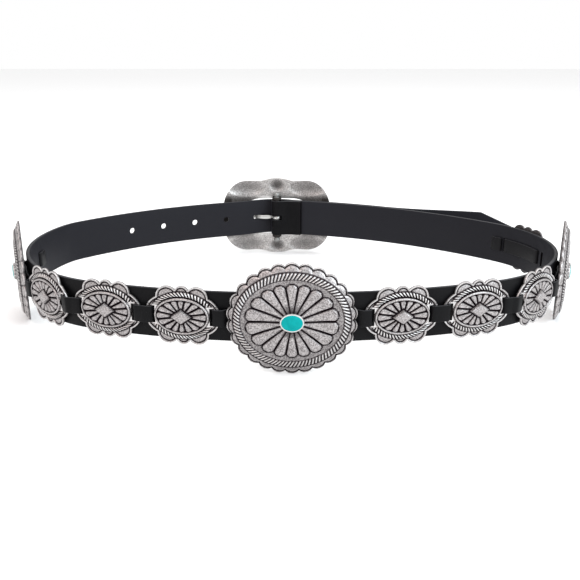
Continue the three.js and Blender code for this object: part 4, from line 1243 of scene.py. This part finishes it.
def silver_material(name, low, high, bright, tarnish_and_shade_color, stipple):
    """Antiqued silver: dark tarnish in the grooves, painted shade where the vertex colours hold it, bright
    worn tops, and a fine cast stipple.
    """
    look = Look(name)
    tarnish_and_shade = look.nodes.new("ShaderNodeVertexColor")
    tarnish_and_shade.layer_name = "tarnish_and_shade"
    dark = look.add("SeparateColor", 0, Color=tarnish_and_shade.outputs["Color"])
    fine = look.noise(1500, 2.0, 0.6)
    cloud = look.noise(160, 4.0, 0.6)
    worn = look.ramp(fine, (0.38, low), (0.62, high))
    cloudy = look.ramp(cloud, (0.3, grey(0.82)), (0.7, grey(1)))
    metal = look.mix(1.0, worn, cloudy, "MULTIPLY")
    # Untarnished edges are worn bright and smooth.
    polish = look.ramp(dark, (0.0, grey(0.6)), (0.1, grey(0)))
    metal = look.mix(polish, metal, bright)
    look.give("Base Color", look.mix(dark, metal, tarnish_and_shade_color))
    look.give("Metallic", 1.0)
    shine = look.ramp(fine, (0.3, grey(0.5)), (0.7, grey(0.34)))
    shine = look.mix(polish, shine, grey(0.34))
    look.give("Roughness", look.mix(dark, shine, grey(0.75)))
    look.give("Normal", look.bump(fine, stipple, 0.00018))
    return look.material


def flesh_side(look):
    """1 where leather faces the middle of the loop, apart from the flap round the bar, which is smooth."""
    turned = look.nodes.new("ShaderNodeVectorMath")
    turned.operation = "DOT_PRODUCT"
    look.feed(turned.inputs[0], look.texture["Object"])
    look.feed(turned.inputs[1], look.texture["Normal"])
    inwards = look.calculate("LESS_THAN", turned.outputs["Value"], 0)
    spot = look.nodes.new("ShaderNodeSeparateXYZ")
    look.feed(spot.inputs[0], look.texture["Object"])
    flap_middle = on_loop(BAR_AT)[0][0] + OFFSET[0] + (FLAP_LENGTH - 4) / 2
    beside = look.calculate("ABSOLUTE", look.calculate("SUBTRACT", spot.outputs[0], flap_middle * MM))
    beyond = look.calculate("GREATER_THAN", beside, (FLAP_LENGTH + 4) / 2 * MM)
    in_front = look.calculate("LESS_THAN", spot.outputs[1], 0)
    return look.calculate("MULTIPLY", inwards, look.calculate("MAXIMUM", beyond, in_front))


def leather_material(name, high, inner, sheen, grain, gloss):
    """Smooth black leather with a fine pebble grain. Its flesh side is a little lighter, and its faces that
    point up or down are painted lighter: a painted highlight along the top edge.
    """
    look = Look(name)
    pebbles = look.add("TexVoronoi", "Distance", Vector=look.texture["Object"], Scale=1300, Randomness=1.0)
    cloud = look.noise(45, 4.0, 0.55)
    fine = look.noise(2400, 2.0, 0.6)
    face = look.ramp(cloud, (0.3, BLACK), (0.72, high))
    face = look.mix(flesh_side(look), face, inner)
    normal = look.nodes.new("ShaderNodeNewGeometry").outputs["Normal"]
    # Painted highlight: faces that point up or down, the top and bottom edges, get a lighter colour.
    upright = look.calculate("ABSOLUTE", look.add("SeparateXYZ", 2, Vector=normal))
    edge = look.ramp(upright, (0.6, grey(0)), (0.85, grey(1)))
    look.give("Base Color", look.mix(edge, face, PAINTED_EDGE_HIGHLIGHT))
    look.give("Roughness", look.ramp(cloud, (0.3, grey(sheen)), (0.7, grey(sheen + 0.1))))
    look.give("Normal", look.bump(fine, 0.15, 0.00005, Normal=look.bump(pebbles, grain, 0.00008)))
    look.give("Specular IOR Level", gloss)
    return look.material


def stone_material():
    look = Look("turquoise")
    cloud = look.noise(260, 3.0, 0.5)
    look.give("Base Color", look.ramp(cloud, (0.3, (0.001, 0.24, 0.24)), (0.7, (0.003, 0.3, 0.3))))
    fine = look.noise(900, 2.0, 0.5)
    look.give("Roughness", look.ramp(fine, (0.2, grey(0.3)), (0.8, grey(0.38))))
    look.give("Normal", look.bump(fine, 0.05, 0.00005))
    look.give("Specular IOR Level", 0.06)
    return look.material


def floor_material():
    look = Look("floor")
    look.give("Base Color", grey(0.9))
    look.give("Roughness", 0.8)
    look.give("Specular IOR Level", 0.1)
    return look.material


SILVER = silver_material("antiqued_silver", (0.24, 0.222, 0.222), (0.6, 0.57, 0.565), BRIGHT,
                         (0.01, 0.006, 0.008), 0.5)
BUCKLE = silver_material("buckle_silver", (0.33, 0.315, 0.305), (0.8, 0.77, 0.755), BRIGHT,
                         (0.02, 0.016, 0.014), 0.5)
PIN = silver_material("pin_metal", (0.4, 0.4, 0.39), PIN_BRIGHT, PIN_BRIGHT, grey(0.05), 0.1)
LEATHER = leather_material("strap_leather", (0.005, 0.0048, 0.0055), (0.0135, 0.0137, 0.017), 0.42, 0.5, 0.09)
LACE = leather_material("lace_leather", (0.004, 0.004, 0.0045), (0.008, 0.008, 0.009), 0.36, 0.3, 0.1)
TURQUOISE = stone_material()


# Build.

def dress(obj, node, spot=None):
    """Moves a piece to a spot of the loop, ties it to the root, and hides the solid that it stands for, if
    any.
    """
    if spot:
        obj.matrix_world = spot_matrix(*spot)
    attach(obj, "root")
    if node:
        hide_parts(node)


def place(pattern, name, spot, node, slot):
    """A copy of a piece, with its mesh and bevel, at a spot of the loop."""
    copy = linked(name, pattern.data)
    for modifier in pattern.modifiers:
        twin = copy.modifiers.new(modifier.name, modifier.type)
        twin.width = modifier.width
        twin.segments = modifier.segments
    dress(copy, node, spot)


big = big_concho_mesh(SILVER)
bridge = bridge_mesh(SILVER)
stone = stone_mesh(TURQUOISE)
for name, given in BIG_CONCHOS.items():
    spot = big_place(*given)
    place(big, f"big_concho_{name}_skin", spot, f"big_concho_{name}", "antiqued_silver")
    place(bridge, f"bridge_{name}", spot, None, "antiqued_silver")
    place(stone, f"stone_{name}_skin", spot, f"stone_{name}", "turquoise")
small = small_concho_mesh(SILVER)
for name, at in SMALL_CONCHOS.items():
    spot = on_loop(at, CONCHO_SEAT)
    place(small, f"small_concho_{name}_skin", spot, f"small_concho_{name}", "antiqued_silver")
for pattern in (big, bridge, stone, small):
    bpy.data.objects.remove(pattern)

dress(main_strap(LEATHER), "main_strap")
dress(lace(LACE), "lace")
bar_spot = on_loop(BAR_AT, BAR_OUT)
dress(buckle_frame(BUCKLE), "buckle_frame", bar_spot)
dress(lugs(BUCKLE), None, bar_spot)
dress(bar(PIN), "buckle_bar", bar_spot)
dress(prong(PIN), "buckle_prong", bar_spot)


# Floor, light and camera.

FLOOR_SIZE = 8
# Name, place, target, size, power and colour of each light.
LIGHTS = [("key", (-0.9, -1.3, 1.5), (0, 0, 0.03), (1.2, 0.9), 10, (1, 0.8, 0.76)),
          ("fill", (1.2, -0.9, 0.9), (0, 0, 0.03), (1.2, 0.9), 22, (0.84, 0.94, 1)),
          ("top", (0, 0.2, 1.6), (0, 0, 0), (1.6, 1.2), 14, (1, 1, 1))]
PHOTO_PX = 580.0
FOCAL_PX = 740.0
SHIFT_PX = -2.0
SENSOR = 36.0
CAMERA_IN_FRONT = 396.6
CAMERA_ABOVE_BELT = 153.2
CAMERA_DOWN = 19.0


def stage_floor():
    bpy.ops.mesh.primitive_plane_add(size=FLOOR_SIZE, location=(0, 0, 0))
    floor = bpy.context.object
    floor.name = "floor"
    floor.data.materials.append(floor_material())


def area_light(name, place, target, size, power, color):
    data = bpy.data.lights.new(name, "AREA")
    data.shape = "RECTANGLE"
    data.size, data.size_y = size
    data.energy = power
    data.color = color
    light = linked(name, data)
    light.location = place
    light.rotation_euler = (Vector(target) - Vector(place)).to_track_quat("-Z", "Y").to_euler()


def white_world():
    world = bpy.data.worlds.new("studio")
    world.use_nodes = True
    background = world.node_tree.nodes["Background"]
    background.inputs["Color"].default_value = (1, 1, 1, 1)
    background.inputs["Strength"].default_value = 1.0
    bpy.context.scene.world = world
    bpy.context.scene.view_settings.view_transform = "Standard"


def photo_camera():
    data = bpy.data.cameras.new("camera")
    data.sensor_width = SENSOR
    data.lens = SENSOR * FOCAL_PX / PHOTO_PX
    data.shift_x = SHIFT_PX / PHOTO_PX
    camera = linked("camera", data)
    camera.location = Vector((OFFSET[0], OFFSET[1] - CAMERA_IN_FRONT, MID_Z + CAMERA_ABOVE_BELT)) * MM
    camera.rotation_euler = (math.radians(90 - CAMERA_DOWN), 0, 0)
    bpy.context.scene.camera = camera


stage_floor()
white_world()
for light in LIGHTS:
    area_light(*light)
photo_camera()
